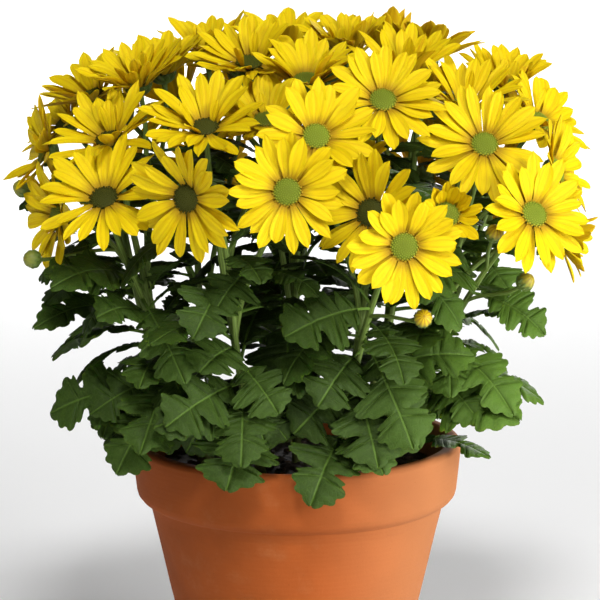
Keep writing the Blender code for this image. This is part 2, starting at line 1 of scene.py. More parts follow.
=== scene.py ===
import functools
import json
import math
import random
import re

import bpy
import numpy as np
from bpy.props import FloatProperty, FloatVectorProperty, IntProperty, PointerProperty
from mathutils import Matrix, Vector, noise
from mathutils.bvhtree import BVHTree
from mathutils.kdtree import KDTree

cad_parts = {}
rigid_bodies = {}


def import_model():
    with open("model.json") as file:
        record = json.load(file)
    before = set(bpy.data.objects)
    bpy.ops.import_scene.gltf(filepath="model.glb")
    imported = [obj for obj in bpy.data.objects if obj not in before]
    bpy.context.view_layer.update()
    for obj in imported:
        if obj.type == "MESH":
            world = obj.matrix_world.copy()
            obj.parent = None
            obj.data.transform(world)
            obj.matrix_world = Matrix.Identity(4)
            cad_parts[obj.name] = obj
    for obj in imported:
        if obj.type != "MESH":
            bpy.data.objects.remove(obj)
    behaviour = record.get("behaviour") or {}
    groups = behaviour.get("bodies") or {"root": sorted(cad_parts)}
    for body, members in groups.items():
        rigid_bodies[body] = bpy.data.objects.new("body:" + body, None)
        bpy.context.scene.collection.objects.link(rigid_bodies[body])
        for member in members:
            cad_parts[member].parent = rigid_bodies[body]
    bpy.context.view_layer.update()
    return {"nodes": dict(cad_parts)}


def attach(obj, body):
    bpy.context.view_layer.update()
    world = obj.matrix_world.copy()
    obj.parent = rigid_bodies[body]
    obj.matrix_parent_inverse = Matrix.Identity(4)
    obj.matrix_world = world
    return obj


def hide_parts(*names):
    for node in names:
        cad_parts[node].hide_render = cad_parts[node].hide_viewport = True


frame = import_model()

bl_info = {
    "name": "Pot chrysanthemum",
    "version": (1, 0, 0),
    "blender": (4, 5, 0),
    "location": "3D View > Sidebar > Chrysanthemum",
    "description": "A pot chrysanthemum with open yellow daisy blooms in a plain terracotta pot",
    "category": "Object",
}

MM = 0.001
SEED = 11
UP = np.array([0.0, 0.0, 1.0])

# Pot and soil, in millimetres, as the solids have them
POT_HEIGHT = 145
RIM_RADIUS = 80
COLLAR_RADIUS = 78
COLLAR_FOOT = 121
SHOULDER_RADIUS = 71.5
SHOULDER_HEIGHT = 114
FOOT_RADIUS = 45
MOUTH_RADIUS = 72.5
FLOOR_RADIUS = 40
FLOOR = 8
DRAIN_RADIUS = 10
FOOT_ROUND = 1.2
LIP = 3
SOIL_TOP = 131
SOIL_CROWN = 3
SOIL_LIFT = 0.4
SOIL_GAP = 0.8
CRUMB_REACH = 68.5
ROOT_DEPTH = 35
ROOT_RADIUS = 46
ROOT_LEAN = 32

# Stems, stalks and heads
STEM_THICK = 2.3
STALK_THICK = 1.5
NECK_THICK = 1.1
STALK_STATIONS = 30
LOWEST_FORK = 0.16
FORK_SPREAD = 0.42
NECK = 6.5
START_PULL = 0.4
END_PULL = 0.32
LONGEST_PULL = 30
FORK_PULL = 1.2
ROOT_CLEAR = 1
DISC_EDGE = 6.1
DISC = ((0.0, 3.9), (0.35, 5.7), (0.75, 6.1), (1.1, DISC_EDGE), (1.9, 4.9), (2.45, 3.0))
DISC_TOP = 2.7
FLORET_SIDES = 5
OPEN_FLORETS = 0.82
BELL = ((-6.5, 1.15), (-6.0, 2.1), (-5.0, 3.4), (-3.6, 4.7), (-2.1, 5.5), (-1.0, 5.7), (-0.4, 4.2))
CUP_BRACTS = ((-6.1, -2.9, 2.5), (-5.5, -1.3, 2.8), (-4.6, -0.2, 3.0))
CUP_COUNT = 11
BRACT_THICK = 0.55
BRACT_ROWS = np.linspace(0, 1, 5)
BRACT_COLUMNS = np.array([-1.0, 0.0, 1.0])
RING_OUTER = 7.0
RING_REACH = 8.5
RING_CORE = 5.9
MIDDLE_POINTS = 24
MIDDLE_STEPS = 12
RING_STEPS = 6
RAY_HALF = 3.75

# Azimuth of each leafy stem's root, and how many leaves it has by rule
ROOT_AZIMUTHS = (-58, -20, 22, 65, 105, 140, -175, -132, -92, None)
RULE_LEAVES = (4, 4, 4, 4, 6, 6, 6, 6, 5, 5)

# Leaves that show from the front: where they spring from, their tip, width, lean of their face
FRONT_LEAVES = (
    ((-79, -30, 219), (-118, -50, 235), 29, 40), ((-95, -20, 197), (-124, -35, 207), 29, 20),
    ((-69, -45, 211), (-92, -70, 219), 29, 30), ((-56, -60, 223), (-51, -84, 190), 29, 60),
    ((-16, -62, 205), (-44, -88, 197), 36, 50), ((-6, -62, 238), (-37, -88, 225), 31, 40),
    ((35, -66, 222), (-5, -92, 214), 38, 55), ((-78, -20, 172), (-118, -30, 164), 36, 50),
    ((-77, -30, 180), (-97, -50, 168), 29, 50), ((-61, -55, 180), (-72, -84, 157), 34, 55),
    ((-70, -25, 158), (-92, -42, 153), 22, 20), ((-50, -56, 189), (-48, -80, 166), 26, 60),
    ((-24, -60, 166), (-64, -88, 158), 34, 50), ((-3, -62, 167), (-32, -92, 142), 41, 55),
    ((-15, -60, 195), (-8, -86, 176), 31, 55), ((3, -64, 165), (7, -92, 136), 36, 55),
    ((2, -60, 170), (40, -88, 150), 31, 50), ((36, -64, 186), (38, -88, 151), 36, 65),
    ((42, -60, 204), (54, -88, 160), 36, 60), ((64, -40, 170), (103, -66, 170), 41, 55),
    ((70, -40, 193), (101, -68, 174), 31, 40), ((84, -35, 222), (112, -58, 206), 29, 35),
    ((98, -30, 237), (124, -48, 246), 24, 30), ((31, -60, 200), (10, -88, 180), 34, 55),
    ((88, -45, 222), (56, -86, 238), 34, 45), ((58, -45, 205), (72, -66, 180), 29, 50),
    ((-93, -20, 239), (-126, -22, 236), 31, 20), ((-30, -40, 190), (-52, -62, 150), 36, 60),
    ((-12, -35, 185), (-22, -62, 148), 38, 60), ((8, -35, 185), (14, -64, 148), 38, 60),
    ((28, -40, 190), (58, -66, 155), 38, 60), ((0, -20, 205), (-6, -50, 168), 38, 60),
)
HANGING_LEAVES = (
    ((-40, -50, 185), (-52, -84, 152), 34, 60), ((-10, -50, 185), (-14, -88, 146), 34, 60),
    ((-30, -50, 180), (-38, -86, 158), 34, 55), ((16, -50, 185), (22, -88, 147), 34, 60),
    ((-60, -40, 175), (-64, -74, 152), 30, 50), ((0, -50, 185), (-2, -84, 152), 34, 60),
    ((30, -50, 185), (30, -86, 158), 34, 60), ((50, -40, 185), (70, -66, 156), 30, 55),
)
LEAF_TURNS = ((0, 0), (14, 0), (-14, 0), (0, 16), (0, -16), (26, 0), (-26, 0), (14, 20), (-14, -20),
              (14, -20), (-14, 20), (38, 0), (-38, 0), (26, 32), (26, -32), (-26, 32), (-26, -32))
LEAF_SIZES = (1, 0.84, 0.7, 0.56)
STEEPEST = 1.4
GOLDEN_TURN = 137.5
RULE_LOWEST = 0.16
RULE_HIGHEST = 0.74
RULE_ASIDE = (15, 85)
RULE_RISE = (-42, -4)
RULE_LIFT = 30
RULE_LENGTH = 62
RULE_SHRINK = 0.25
RULE_WIDTH = 0.66
SIZE_RANGE = (0.85, 1.1)
SMALL_LENGTH = 30
SMALL_EVERY = 5
SMALL_SEED = 33
SMALL_PLACE = 0.62
TOP_PLACE = 0.86
SMALL_RISE = (-5, 25)
SMALL_TILT = 0.4
SAME_PLACE = 0.3

# Half of a leaf's outline: share of the length, share of the half-width, and how far a vein runs to it
LEAF_OUTLINE = (
    (0.205, 0.05, 0), (0.222, 0.12, 0), (0.236, 0.21, 0), (0.248, 0.33, 0), (0.262, 0.41, 0.5),
    (0.282, 0.42, 0), (0.292, 0.37, 0), (0.300, 0.42, 0), (0.312, 0.53, 0), (0.330, 0.60, 1),
    (0.352, 0.58, 0), (0.366, 0.51, 0), (0.372, 0.43, 0), (0.388, 0.40, 0.3), (0.398, 0.34, 0),
    (0.406, 0.25, 0), (0.420, 0.20, 0), (0.434, 0.25, 0), (0.440, 0.40, 0), (0.446, 0.54, 0),
    (0.456, 0.66, 0.5), (0.474, 0.71, 0), (0.488, 0.67, 0), (0.496, 0.66, 0), (0.504, 0.76, 0),
    (0.520, 0.90, 0), (0.542, 0.98, 0.5), (0.562, 0.97, 0), (0.577, 0.90, 0), (0.588, 0.92, 0),
    (0.602, 0.99, 0), (0.622, 1.00, 1), (0.642, 0.95, 0), (0.652, 0.85, 0), (0.654, 0.77, 0),
    (0.662, 0.77, 0.4), (0.679, 0.72, 0), (0.684, 0.62, 0), (0.682, 0.50, 0), (0.682, 0.38, 0),
    (0.692, 0.30, 0), (0.714, 0.32, 0), (0.727, 0.44, 0), (0.740, 0.57, 0), (0.755, 0.66, 0.5),
    (0.768, 0.66, 0), (0.780, 0.60, 0), (0.792, 0.63, 0), (0.806, 0.72, 0), (0.826, 0.77, 1),
    (0.848, 0.76, 0), (0.864, 0.69, 0), (0.868, 0.60, 0), (0.884, 0.56, 0), (0.906, 0.57, 0.6),
    (0.926, 0.53, 0), (0.938, 0.44, 0), (0.938, 0.34, 0), (0.944, 0.27, 0), (0.962, 0.25, 0.3),
    (0.980, 0.19, 0), (0.994, 0.10, 0), (1.000, 0.03, 0),
)
LEAF_COLUMNS = (0.0, 0.08, 0.36, 0.70, 1.0)
INNER_COLUMNS = (0.0, 0.1, 0.55, 1.0)
DEEP_LEAF = 92

# Leaves deep in the plant: where along a stem and a stalk, and the ranges that they are drawn from
INNER_PLACES = (0.06, 0.14, 0.22, 0.31, 0.40, 0.49, 0.58, 0.68, 0.78)
INNER_STALK_PLACES = (0.15, 0.34, 0.52, 0.70)
INNER_TRIES = 14
INNER_LENGTH = (32, 56)
INNER_RISE = (-40, 45)
INNER_TILT = (0.2, 1.2)
INNER_WIDTH = (0.6, 0.74)
INNER_REACH = 112
INNER_LOW = 142
INNER_HIGH = 292
INNER_CLEAR = 1.1
HANGING_ROOT = 6
HANGING_CLEAR = 0.8
CALM_HEIGHT = 292
CALM_RANGE = 60
CALMEST = 0.15
LEAF_ARCH = 0.13
LEAF_TWIST = 16
LEAF_WAVE = (0.5, 1.4)
LEAF_FOLD = (-0.05, 0.22)
LEAF_CURL = (0.0, 0.09)
LEAF_DRIFT = 0.014
LEAF_SPREAD = 0.14
QUILTING = 1.5
LEAF_SLAB = ((0.10, 0.10), (0.32, 0.52), (0.60, 1.0), (0.85, 0.75), (1.0, 0.12))

# Buds: the place of each bud's foot, the way it points, and how yellow it is
BUDS = (
    ((-126, -12, 268), (-70, 20), 0.25), ((-120, -40, 240), (-50, 10), 0.15),
    ((33, -100, 248), (5, 70), 0.75), ((57, -97, 222), (5, 25), 1.0),
    ((90, -68, 254), (20, 50), 0.8), ((103, -58, 230), (60, 40), 0.5),
    ((96, 82, 236), (125, 20), 0.4), ((-70, 92, 240), (-140, 20), 0.3),
)
BUD = ((0.6, 1.2), (1.4, 2.3), (2.8, 3.5), (4.6, 4.15), (6.4, 4.0), (7.8, 3.2), (8.8, 2.1), (9.4, 1.2))
BUD_BRACTS = ((0.6, 4.4, 2.6), (1.2, 6.2, 2.9))
BUD_COUNT = 9
BUD_BRACT_THICK = 0.5
BUD_STALK = 0.9
BUD_STALK_REACH = 16
BUD_STALK_DROP = 14
BUD_STALK_LOWEST = 0.2
BUD_STALK_PULL = 0.3
BUD_STALK_RISE = 3

# Rays: rows along and columns across, the half-width at each row, and the form of their tips
RAY_ROWS = np.array([0, 0.07, 0.17, 0.29, 0.42, 0.55, 0.68, 0.80, 0.90, 0.96, 1.0])
RAY_COLUMNS = np.array([-1, -0.74, -0.45, -0.22, 0, 0.22, 0.45, 0.74, 1])
RAY_STATIONS = (0, 0.1, 0.25, 0.45, 0.62, 0.8, 0.9, 0.96, 1.0)
RAY_BLUNT = (0.36, 0.44, 0.62, 0.88, 1.0, 0.94, 0.80, 0.62, 0.28)
RAY_POINTED = (0.36, 0.44, 0.66, 0.94, 1.0, 0.82, 0.52, 0.29, 0.06)
RAY_BENDS = (0, 5, -5, 10, -10, 16, -16)
RAY_LENGTHS = (1, 0.86, 0.7)
RAY_ARCH = (-9, 17)
RAY_CURL = (0.02, 0.34)
RAY_ROLL = 18
RAY_SWAY = 1.6
RAY_NOTCHES = (0, 0, 0, 1, 2)
NOTCH_DEPTH = (0.3, 0.8)
GROOVE = 0.45
GROOVE_DEPTH = 0.30
RAY_WIDTHS = (0.80, 1.08)
LAYER_LIFTS = (-0.3, 0.7, 1.3)

# Blooms whose discs show whole, blooms whose discs get painted shade, and the short rays that stand up in the
# others
OPEN_BLOOMS = ("bloom_1_2", "bloom_2_2", "bloom_2_3", "bloom_3_1", "bloom_3_2", "bloom_3_3", "bloom_3_4",
               "bloom_3_5", "bloom_4_2", "bloom_4_3")
OPEN_AGE = 0.25
CLOSED_AGE = 0.9
SHADED_DISC_BLOOMS = ("bloom_1_2", "bloom_2_2", "bloom_3_2", "bloom_2_1", "bloom_1_1")
SHORT_RAYS = (2, 4, 6, 9)
SHORT_LENGTH = (0.42, 0.7)
SHORT_RISE = (22, 58)
SHORT_WIDTH = (0.55, 0.85)

# Stage, in metres: the floor with its bent-up edge, then for each softbox its place, aim, width and spread
FLOOR_REACH = 4.0
WALL_BEND = 0.9
WALL_TOP = 1.0
FLOOR_SIDES = 96
SOFTBOXES = (
    ("key", (1.886, -2.094, 1.246), (0, 0, 0.22), 1.2, 180),
    ("top", (0.08, -2.06, 2.67), (0, 0, 0.22), 0.6, 180),
    ("backdrop", (0, 2.5, 2.3), (0, 2.49, 0), 0.75, 92),
)
LOW_PLACE = (1.205, -0.487, 0.10)
LOW_AIM = (0.03, 0, 0.06)
LOW_CONE = 28
LOW_SIZE = 0.12
REAR_WAY = (-0.25, -1, -0.27)
REAR_WIDTH = 8
SENSOR_WIDTH = 36
VIEW_MIDDLE = (0.0017, 0, 0.2129)
VIEW_RISE = 11


# Forms


def unit(vector):
    """A vector of length 1."""
    return vector / np.linalg.norm(vector)


def heading(azimuth, elevation=0.0):
    """Unit vector for an azimuth and an elevation."""
    turn, rise = math.radians(azimuth), math.radians(elevation)
    return np.array([math.sin(turn) * math.cos(rise), -math.cos(turn) * math.cos(rise), math.sin(rise)])


def bezier(p0, p1, p2, p3, t):
    """Point of a cubic curve."""
    s = 1 - t
    return p0 * s ** 3 + p1 * (3 * s * s * t) + p2 * (3 * s * t * t) + p3 * t ** 3


class Piece:
    """Gathers closed forms, in millimetres, and makes one mesh of them."""

    def __init__(self):
        self.points, self.plane, self.marks, self.faces, self.count = [], [], [], [], 0

    def add(self, points, faces, plane=None, marks=(0, 0, 0)):
        """Adds a closed form; plane and marks are what its finish reads at each point."""
        points = np.asarray(points, float).reshape(-1, 3)
        volume = 0.0
        middle = points.mean(axis=0)
        for face in faces:
            corner = points[np.asarray(face)] - middle
            for k in range(1, corner.shape[1] - 1):
                volume += np.einsum("ij,ij->i", corner[:, 0], np.cross(corner[:, k], corner[:, k + 1])).sum()
        for face in faces:
            face = np.asarray(face)
            self.faces += ((face if volume > 0 else face[:, ::-1]) + self.count).tolist()
        self.points.append(points)
        flat = np.zeros((len(points), 2)) if plane is None else np.asarray(plane, float).reshape(-1, 2)
        self.plane.append(flat)
        self.marks.append(np.broadcast_to(np.asarray(marks, float), (len(points), 3)))
        self.count += len(points)

    def make(self, name, finish, slot, nodes, sharp=50):
        """The object, which rides on the pot plant's one body and stands for its nodes."""
        mesh = bpy.data.meshes.new(name)
        mesh.from_pydata((np.concatenate(self.points) * MM).tolist(), [], self.faces)
        corners = np.empty(len(mesh.loops), int)
        mesh.loops.foreach_get("vertex_index", corners)
        layer = mesh.uv_layers.new(name="plane")
        layer.uv.foreach_set("vector", np.concatenate(self.plane)[corners].astype(np.float32).ravel())
        marks = mesh.attributes.new("marks", "FLOAT_VECTOR", "POINT")
        marks.data.foreach_set("vector", np.concatenate(self.marks).astype(np.float32).ravel())
        mesh.shade_smooth()
        mesh.set_sharp_from_angle(angle=math.radians(sharp))
        mesh.materials.append(finish)
        made = bpy.data.objects.new(name, mesh)
        bpy.context.scene.collection.objects.link(made)
        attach(made, "root")
        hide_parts(*nodes)
        return made


def turned(profile, sides, wobble=None):
    """Points and faces of a closed profile of radii and heights, turned about the vertical."""
    turns = np.arange(sides) * math.tau / sides
    points, rings = [], []
    for radius, height in profile:
        if radius == 0:
            rings.append([len(points)])
            points.append((0, 0, height))
            continue
        rings.append(list(range(len(points), len(points) + sides)))
        for turn in turns:
            reach = radius + (wobble(turn, height) if wobble else 0)
            points.append((reach * math.cos(turn), reach * math.sin(turn), height))
    quads, tris = [], []
    for lower, upper in zip(rings, rings[1:] + rings[:1]):
        for i in range(sides):
            j = (i + 1) % sides
            if len(lower) > 1 and len(upper) > 1:
                quads.append((lower[i], lower[j], upper[j], upper[i]))
            elif len(lower) > 1:
                tris.append((lower[i], lower[j], upper[0]))
            elif len(upper) > 1:
                tris.append((lower[0], upper[j], upper[i]))
    return points, [np.array(f) for f in (quads, tris) if f]


def between(first, last, share):
    """Point of a profile at a share of the way from one point to another."""
    return tuple(a + (b - a) * share for a, b in zip(first, last))


def arc(center, radius, start, end, steps):
    """Points of an arc in a profile."""
    angles = np.radians(np.linspace(start, end, steps + 1))
    return [(center[0] + radius * math.cos(a), center[1] + radius * math.sin(a)) for a in angles]


def tube(points, radii, sides, ridge=0.0, tip=None):
    """Points, faces and plane coordinates of a closed tube; ridge raises every other side."""
    points = np.asarray(points, float)
    ahead = np.gradient(points, axis=0)
    ahead /= np.linalg.norm(ahead, axis=1)[:, None]
    across = np.array([1.0, 0.0, 0.0])
    turns = np.arange(sides) * math.tau / sides
    ring = 1 + ridge * np.cos(turns * sides / 2)
    found, plane = [], []
    for i, (point, forward, radius) in enumerate(zip(points, ahead, radii)):
        across = unit(across - forward * across.dot(forward))
        beside = np.cross(forward, across)
        out = np.outer(np.cos(turns) * ring, across) + np.outer(np.sin(turns) * ring, beside)
        found.append(point + out * radius)
        plane.append(np.column_stack([turns / math.tau, np.full(sides, i / len(points))]))
    k = np.arange(sides)
    j = (k + 1) % sides
    ring = np.column_stack([k, j, sides + j, sides + k])
    quads = np.concatenate([ring + i * sides for i in range(len(points) - 1)])
    first, last = len(points) * sides, (len(points) - 1) * sides
    found += [points[:1], points[-1:] if tip is None else np.asarray(tip, float)[None]]
    plane += [[(0.5, 0)], [(0.5, 1)]]
    low = np.column_stack([j, k, np.full(sides, first)])
    high = np.column_stack([last + k, last + j, np.full(sides, first + 1)])
    return np.concatenate(found), [quads, np.concatenate([low, high])], np.concatenate(plane)


@functools.cache
def lens_faces(rows, columns):
    """Faces of a closed lens: its top grid, and its bottom grid, which shares the margin's points."""
    top = np.arange(rows * columns).reshape(rows, columns)
    bottom = top.copy()
    inner = (rows - 2) * (columns - 2)
    bottom[1:-1, 1:-1] = np.arange(rows * columns, rows * columns + inner).reshape(rows - 2, columns - 2)

    def quads(grid):
        return np.stack([grid[:-1, :-1], grid[:-1, 1:], grid[1:, 1:], grid[1:, :-1]], axis=-1).reshape(-1, 4)

    return [np.concatenate([quads(top), quads(bottom)[:, ::-1]])]


def grid_plane(columns, rows):
    """Coordinates across and along a blade, at each point of its grid."""
    return np.stack(np.broadcast_arrays(columns[None, :], rows[:, None]), axis=-1)


def add_lens(piece, middle, above, thick, plane, tone, extra=0.0):
    """Adds a thin blade: its middle surface, the way its top faces, and its thickness at each point."""
    rows, columns = middle.shape[:2]
    lift = above * thick[..., None] / 2
    lift[0], lift[-1], lift[:, 0], lift[:, -1] = 0, 0, 0, 0
    points = np.concatenate([(middle + lift).reshape(-1, 3), (middle - lift)[1:-1, 1:-1].reshape(-1, 3)])
    coordinates = np.concatenate([plane.reshape(-1, 2), plane[1:-1, 1:-1].reshape(-1, 2)])
    marks = np.empty((len(points), 3))
    marks[:, 0] = tone
    marks[:, 1] = np.arange(len(points)) >= rows * columns
    marks[:, 2] = extra
    piece.add(points, lens_faces(rows, columns), coordinates, marks)


# The plant, as the solids have it


def corners(node):
    """The points of a CAD node's mesh, in millimetres."""
    mesh = frame["nodes"][node].data
    points = np.empty(len(mesh.vertices) * 3)
    mesh.vertices.foreach_get("co", points)
    return points.reshape(-1, 3) / MM


class Bloom:
    """The middle, axis and rays of a bloom, read from its node."""

    def __init__(self, name):
        self.name = name
        points = np.unique(np.round(corners(name), 3), axis=0)
        middle = points.mean(axis=0)
        for _ in range(MIDDLE_STEPS):
            reach = np.linalg.norm(points - middle, axis=1)
            middle = points[np.argsort(reach)[:MIDDLE_POINTS]].mean(axis=0)
        for _ in range(RING_STEPS):
            reach = np.linalg.norm(points - middle, axis=1)
            ring = points[reach < RING_REACH]
            middle = ring.mean(axis=0)
        self.center = middle
        inner = ring[np.linalg.norm(ring - middle, axis=1) < RING_CORE] - middle
        self.axis = np.linalg.svd(inner)[2][-1]
        if self.axis.dot((middle[0], middle[1], 60)) < 0:
            self.axis = -self.axis
        upright = UP if abs(self.axis[2]) < 0.9 else np.array([0.0, 1.0, 0.0])
        self.side = unit(np.cross(self.axis, upright))
        self.top = np.cross(self.side, self.axis)
        self.count = round(len(ring) / 3)
        self.wedge = math.tau / self.count
        self.rays = [None] * self.count
        beyond = points[np.linalg.norm(points - middle, axis=1) > RING_REACH] - middle
        turns = np.arctan2(beyond @ self.top, beyond @ self.side)
        numbers = np.round(turns / self.wedge).astype(int) % self.count
        for i in range(self.count):
            mine = beyond[numbers == i]
            if len(mine) < 4:
                continue
            out, height = mine @ self.outward(i * self.wedge), mine @ self.axis
            tips = np.argsort(np.hypot(out - RING_OUTER, height))[-2:]
            run, rise = out[tips].mean() - RING_OUTER, height[tips].mean()
            self.rays[i] = (math.degrees(math.atan2(rise, run)), math.hypot(rise, run))

    def outward(self, turn):
        """Direction across the bloom at a turn about its axis."""
        return self.side * math.cos(turn) + self.top * math.sin(turn)


class Stalk:
    """A main stem or a stalk: the curve that it follows from its foot to a bloom's neck."""

    def __init__(self, foot, start, bloom, thick):
        self.bloom = bloom
        self.foot = foot
        self.end = bloom.center - bloom.axis * NECK
        reach = np.linalg.norm(self.end - foot)
        rise = min(LONGEST_PULL, reach * END_PULL)
        self.bend = (foot, foot + start * reach * START_PULL, self.end - bloom.axis * rise, self.end)
        self.thick = thick

    def at(self, t):
        """Point at a share of the length."""
        return bezier(*self.bend, t)

    def ahead(self, t):
        """Direction at a share of the length."""
        return unit(self.at(t + 0.01) - self.at(t - 0.01))


@functools.cache
def plan_stems():
    """The stalks of each leafy stem, the main one first."""
    plants = []
    for number, azimuth in enumerate(ROOT_AZIMUTHS):
        names = [n for n in frame["nodes"] if re.fullmatch(rf"bloom_{number + 1}_\d+", n)]
        blooms = [Bloom(n) for n in sorted(names)]
        out = heading(azimuth) if azimuth is not None else np.zeros(3)
        foot = out * ROOT_RADIUS + UP * (SOIL_TOP + SOIL_CROWN + ROOT_CLEAR)
        lean = unit(UP + out * math.tan(math.radians(ROOT_LEAN)))
        main = Stalk(foot, lean, blooms[0], STEM_THICK)
        stalks = [main]
        for i, bloom in enumerate(blooms[1:]):
            t = LOWEST_FORK + FORK_SPREAD * (i + 0.5) / max(len(blooms) - 1, 1)
            fork = main.at(t)
            start = unit(main.ahead(t) * FORK_PULL + unit(bloom.center - fork))
            stalks.append(Stalk(fork, start, bloom, STALK_THICK))
        plants.append(stalks)
    return plants


def nearest(place, lowest=0.08, highest=0.9):
    """The stem, and the point on one of its stalks, nearest to a place."""
    best = None
    for number, stalks in enumerate(plan_stems()):
        for stalk in stalks:
            for i in range(STALK_STATIONS + 1):
                point = stalk.at(lowest + (highest - lowest) * i / STALK_STATIONS)
                distance = np.linalg.norm(point - place)
                if best is None or distance < best[0]:
                    best = (distance, number, point)
    return best[1], best[2]


def turned_tip(base, tip, pitch, yaw, share):
    """The tip of a leaf that is bent clear: lifted, turned and shortened about its base."""
    along = (tip - base) * share
    reach = max(math.hypot(along[0], along[1]), 0.001)
    azimuth = math.atan2(along[0], -along[1]) + math.radians(yaw)
    rise = math.atan2(along[2], reach) + math.radians(pitch)
    rise = max(-STEEPEST, min(STEEPEST, rise))
    return base + heading(math.degrees(azimuth), math.degrees(rise)) * np.linalg.norm(along)


def leaning(lean):
    """The way that a leaf faces when it leans so far towards the front."""
    tilt = math.radians(lean)
    return np.array([0, -math.sin(tilt), math.cos(tilt)])


def bent_leaves(base, tip, width):
    """The tip and width of each form of a leaf to try: as wished, then bent clear, then smaller."""
    for share in LEAF_SIZES:
        for pitch, yaw in LEAF_TURNS:
            yield turned_tip(base, tip, pitch, yaw, share), width * share


def wanted_leaves():
    """Stem number, base, tip, face and width of each leaf that the solids try to place."""
    plants = plan_stems()
    leaves = []
    for place, tip, width, lean in FRONT_LEAVES:
        number, base = nearest(np.array(place, float))
        leaves.append((number, base, np.array(tip, float), leaning(lean), width))
    for number, azimuth in enumerate(ROOT_AZIMUTHS):
        draw = random.Random(SEED + number)
        count = RULE_LEAVES[number]
        for k in range(count):
            t = RULE_LOWEST + (RULE_HIGHEST - RULE_LOWEST) * (k + 0.5) / count
            turn = GOLDEN_TURN * k if azimuth is None else azimuth + (-1) ** k * draw.uniform(*RULE_ASIDE)
            rise = draw.uniform(*RULE_RISE) + RULE_LIFT * t
            length = RULE_LENGTH * draw.uniform(*SIZE_RANGE) * (1 - RULE_SHRINK * t)
            base = plants[number][0].at(t)
            tip = base + heading(turn, rise) * length
            leaves.append((number, base, tip, UP + heading(turn), length * RULE_WIDTH))
    for number, stalks in enumerate(plants):
        draw = random.Random(SMALL_SEED + number)
        for k, stalk in enumerate(stalks):
            if (number + k) % SMALL_EVERY:
                continue
            base = stalk.at(SMALL_PLACE if k else TOP_PLACE)
            turn = draw.uniform(-180, 180)
            out = heading(turn, draw.uniform(*SMALL_RISE))
            length = SMALL_LENGTH * draw.uniform(*SIZE_RANGE)
            face = UP + heading(turn) * SMALL_TILT
            leaves.append((number, base, base + out * length, face, length * RULE_WIDTH))
    return leaves


@functools.cache
def placed_leaves():
    """For each stem, the leaves that its solid has: base, tip, face and width, found by their tips."""
    tips = []
    for number in range(len(ROOT_AZIMUTHS)):
        points = corners(f"leafy_stem_{number + 1}")
        tree = KDTree(len(points))
        for i, point in enumerate(points):
            tree.insert(point, i)
        tree.balance()
        tips.append(tree)
    found = [[] for _ in tips]
    for number, base, tip, face, width in wanted_leaves():
        for end, across in bent_leaves(base, tip, width):
            if tips[number].find(end)[2] < SAME_PLACE:
                found[number].append((base, end, face, across))
                break
    return found


def leaf_slab(base, tip, face, width, clear):
    """A coarse form of a leaf, a little swollen, to test what it would touch."""
    along = tip - base
    length = np.linalg.norm(along)
    above = unit(face - along * face.dot(along) / length ** 2)
    side = np.cross(along / length, above)
    points, faces = [], []
    for level in (-clear, clear):
        for s, half in LEAF_SLAB:
            spine = base + along * s + above * (LEAF_ARCH * length * 4 * s * (1 - s) + level)
            points += [Vector(spine + side * half * width / 2 * k) for k in (-1, 0, 1)]
    for i in (0, 1, 2, 3, 5, 6, 7, 8):
        k = 3 * (i % 5) + 15 * (i // 5)
        faces += [(k, k + 1, k + 4, k + 3), (k + 1, k + 2, k + 5, k + 4)]
    return points, faces


class Placed:
    """Coarse forms of what stands already, to test whether a new one would touch them."""

    def __init__(self):
        self.points, self.faces, self.tree = [], [], None

    def add(self, points, faces):
        """Adds one form; it counts from the next gathering on."""
        first = len(self.points)
        self.points += points
        self.faces += [tuple(first + i for i in face) for face in faces]

    def gather(self):
        """Makes the search tree of all that was added."""
        self.tree = BVHTree.FromPolygons(self.points, self.faces) if self.faces else None

    def touches(self, slab):
        """Whether a form's search tree meets what was gathered."""
        return bool(self.tree and slab.overlap(self.tree))


@functools.cache
def hanging_leaves():
    """For each stem, leaves that hang over the pot's rim between those of the solids."""
    tree, _ = solids_tree()
    found = [[] for _ in ROOT_AZIMUTHS]
    taken = []
    for place, tip, width, lean in HANGING_LEAVES:
        number, base = nearest(np.array(place, float))
        face = leaning(lean)
        for end, across in bent_leaves(base, np.array(tip, float), width):
            start = base + unit(end - base) * HANGING_ROOT
            slab = BVHTree.FromPolygons(*leaf_slab(start, end, face, across, HANGING_CLEAR))
            if not slab.overlap(tree) and not any(slab.overlap(other) for other in taken):
                found[number].append((base, end, face, across))
                taken.append(slab)
                break
    return found


@functools.cache
def inner_leaves():
    """For each stem, leaves deep in the plant, placed by rule where they touch nothing."""
    tree, _ = solids_tree()
    draw = random.Random(SEED + 5)
    found, placed = [], Placed()
    for number, stalks in enumerate(plan_stems()):
        leaves = list(hanging_leaves()[number])
        for leaf in leaves:
            placed.add(*leaf_slab(*leaf, INNER_CLEAR))
        for k, stalk in enumerate(stalks):
            for place in INNER_STALK_PLACES if k else INNER_PLACES:
                base = stalk.at(place)
                placed.gather()
                for _ in range(INNER_TRIES):
                    turn = draw.uniform(-180, 180)
                    length = draw.uniform(*INNER_LENGTH)
                    tip = base + heading(turn, draw.uniform(*INNER_RISE)) * length
                    face = UP + heading(turn) * draw.uniform(*INNER_TILT)
                    width = length * draw.uniform(*INNER_WIDTH)
                    if math.hypot(tip[0], tip[1]) > INNER_REACH or not INNER_LOW < tip[2] < INNER_HIGH:
                        continue
                    form = leaf_slab(base, tip, face, width, INNER_CLEAR)
                    slab = BVHTree.FromPolygons(*form)
                    if slab.overlap(tree) or placed.touches(slab):
                        continue
                    leaves.append((base, tip, face, width))
                    placed.add(*form)
                    break
        found.append(leaves)
    return found


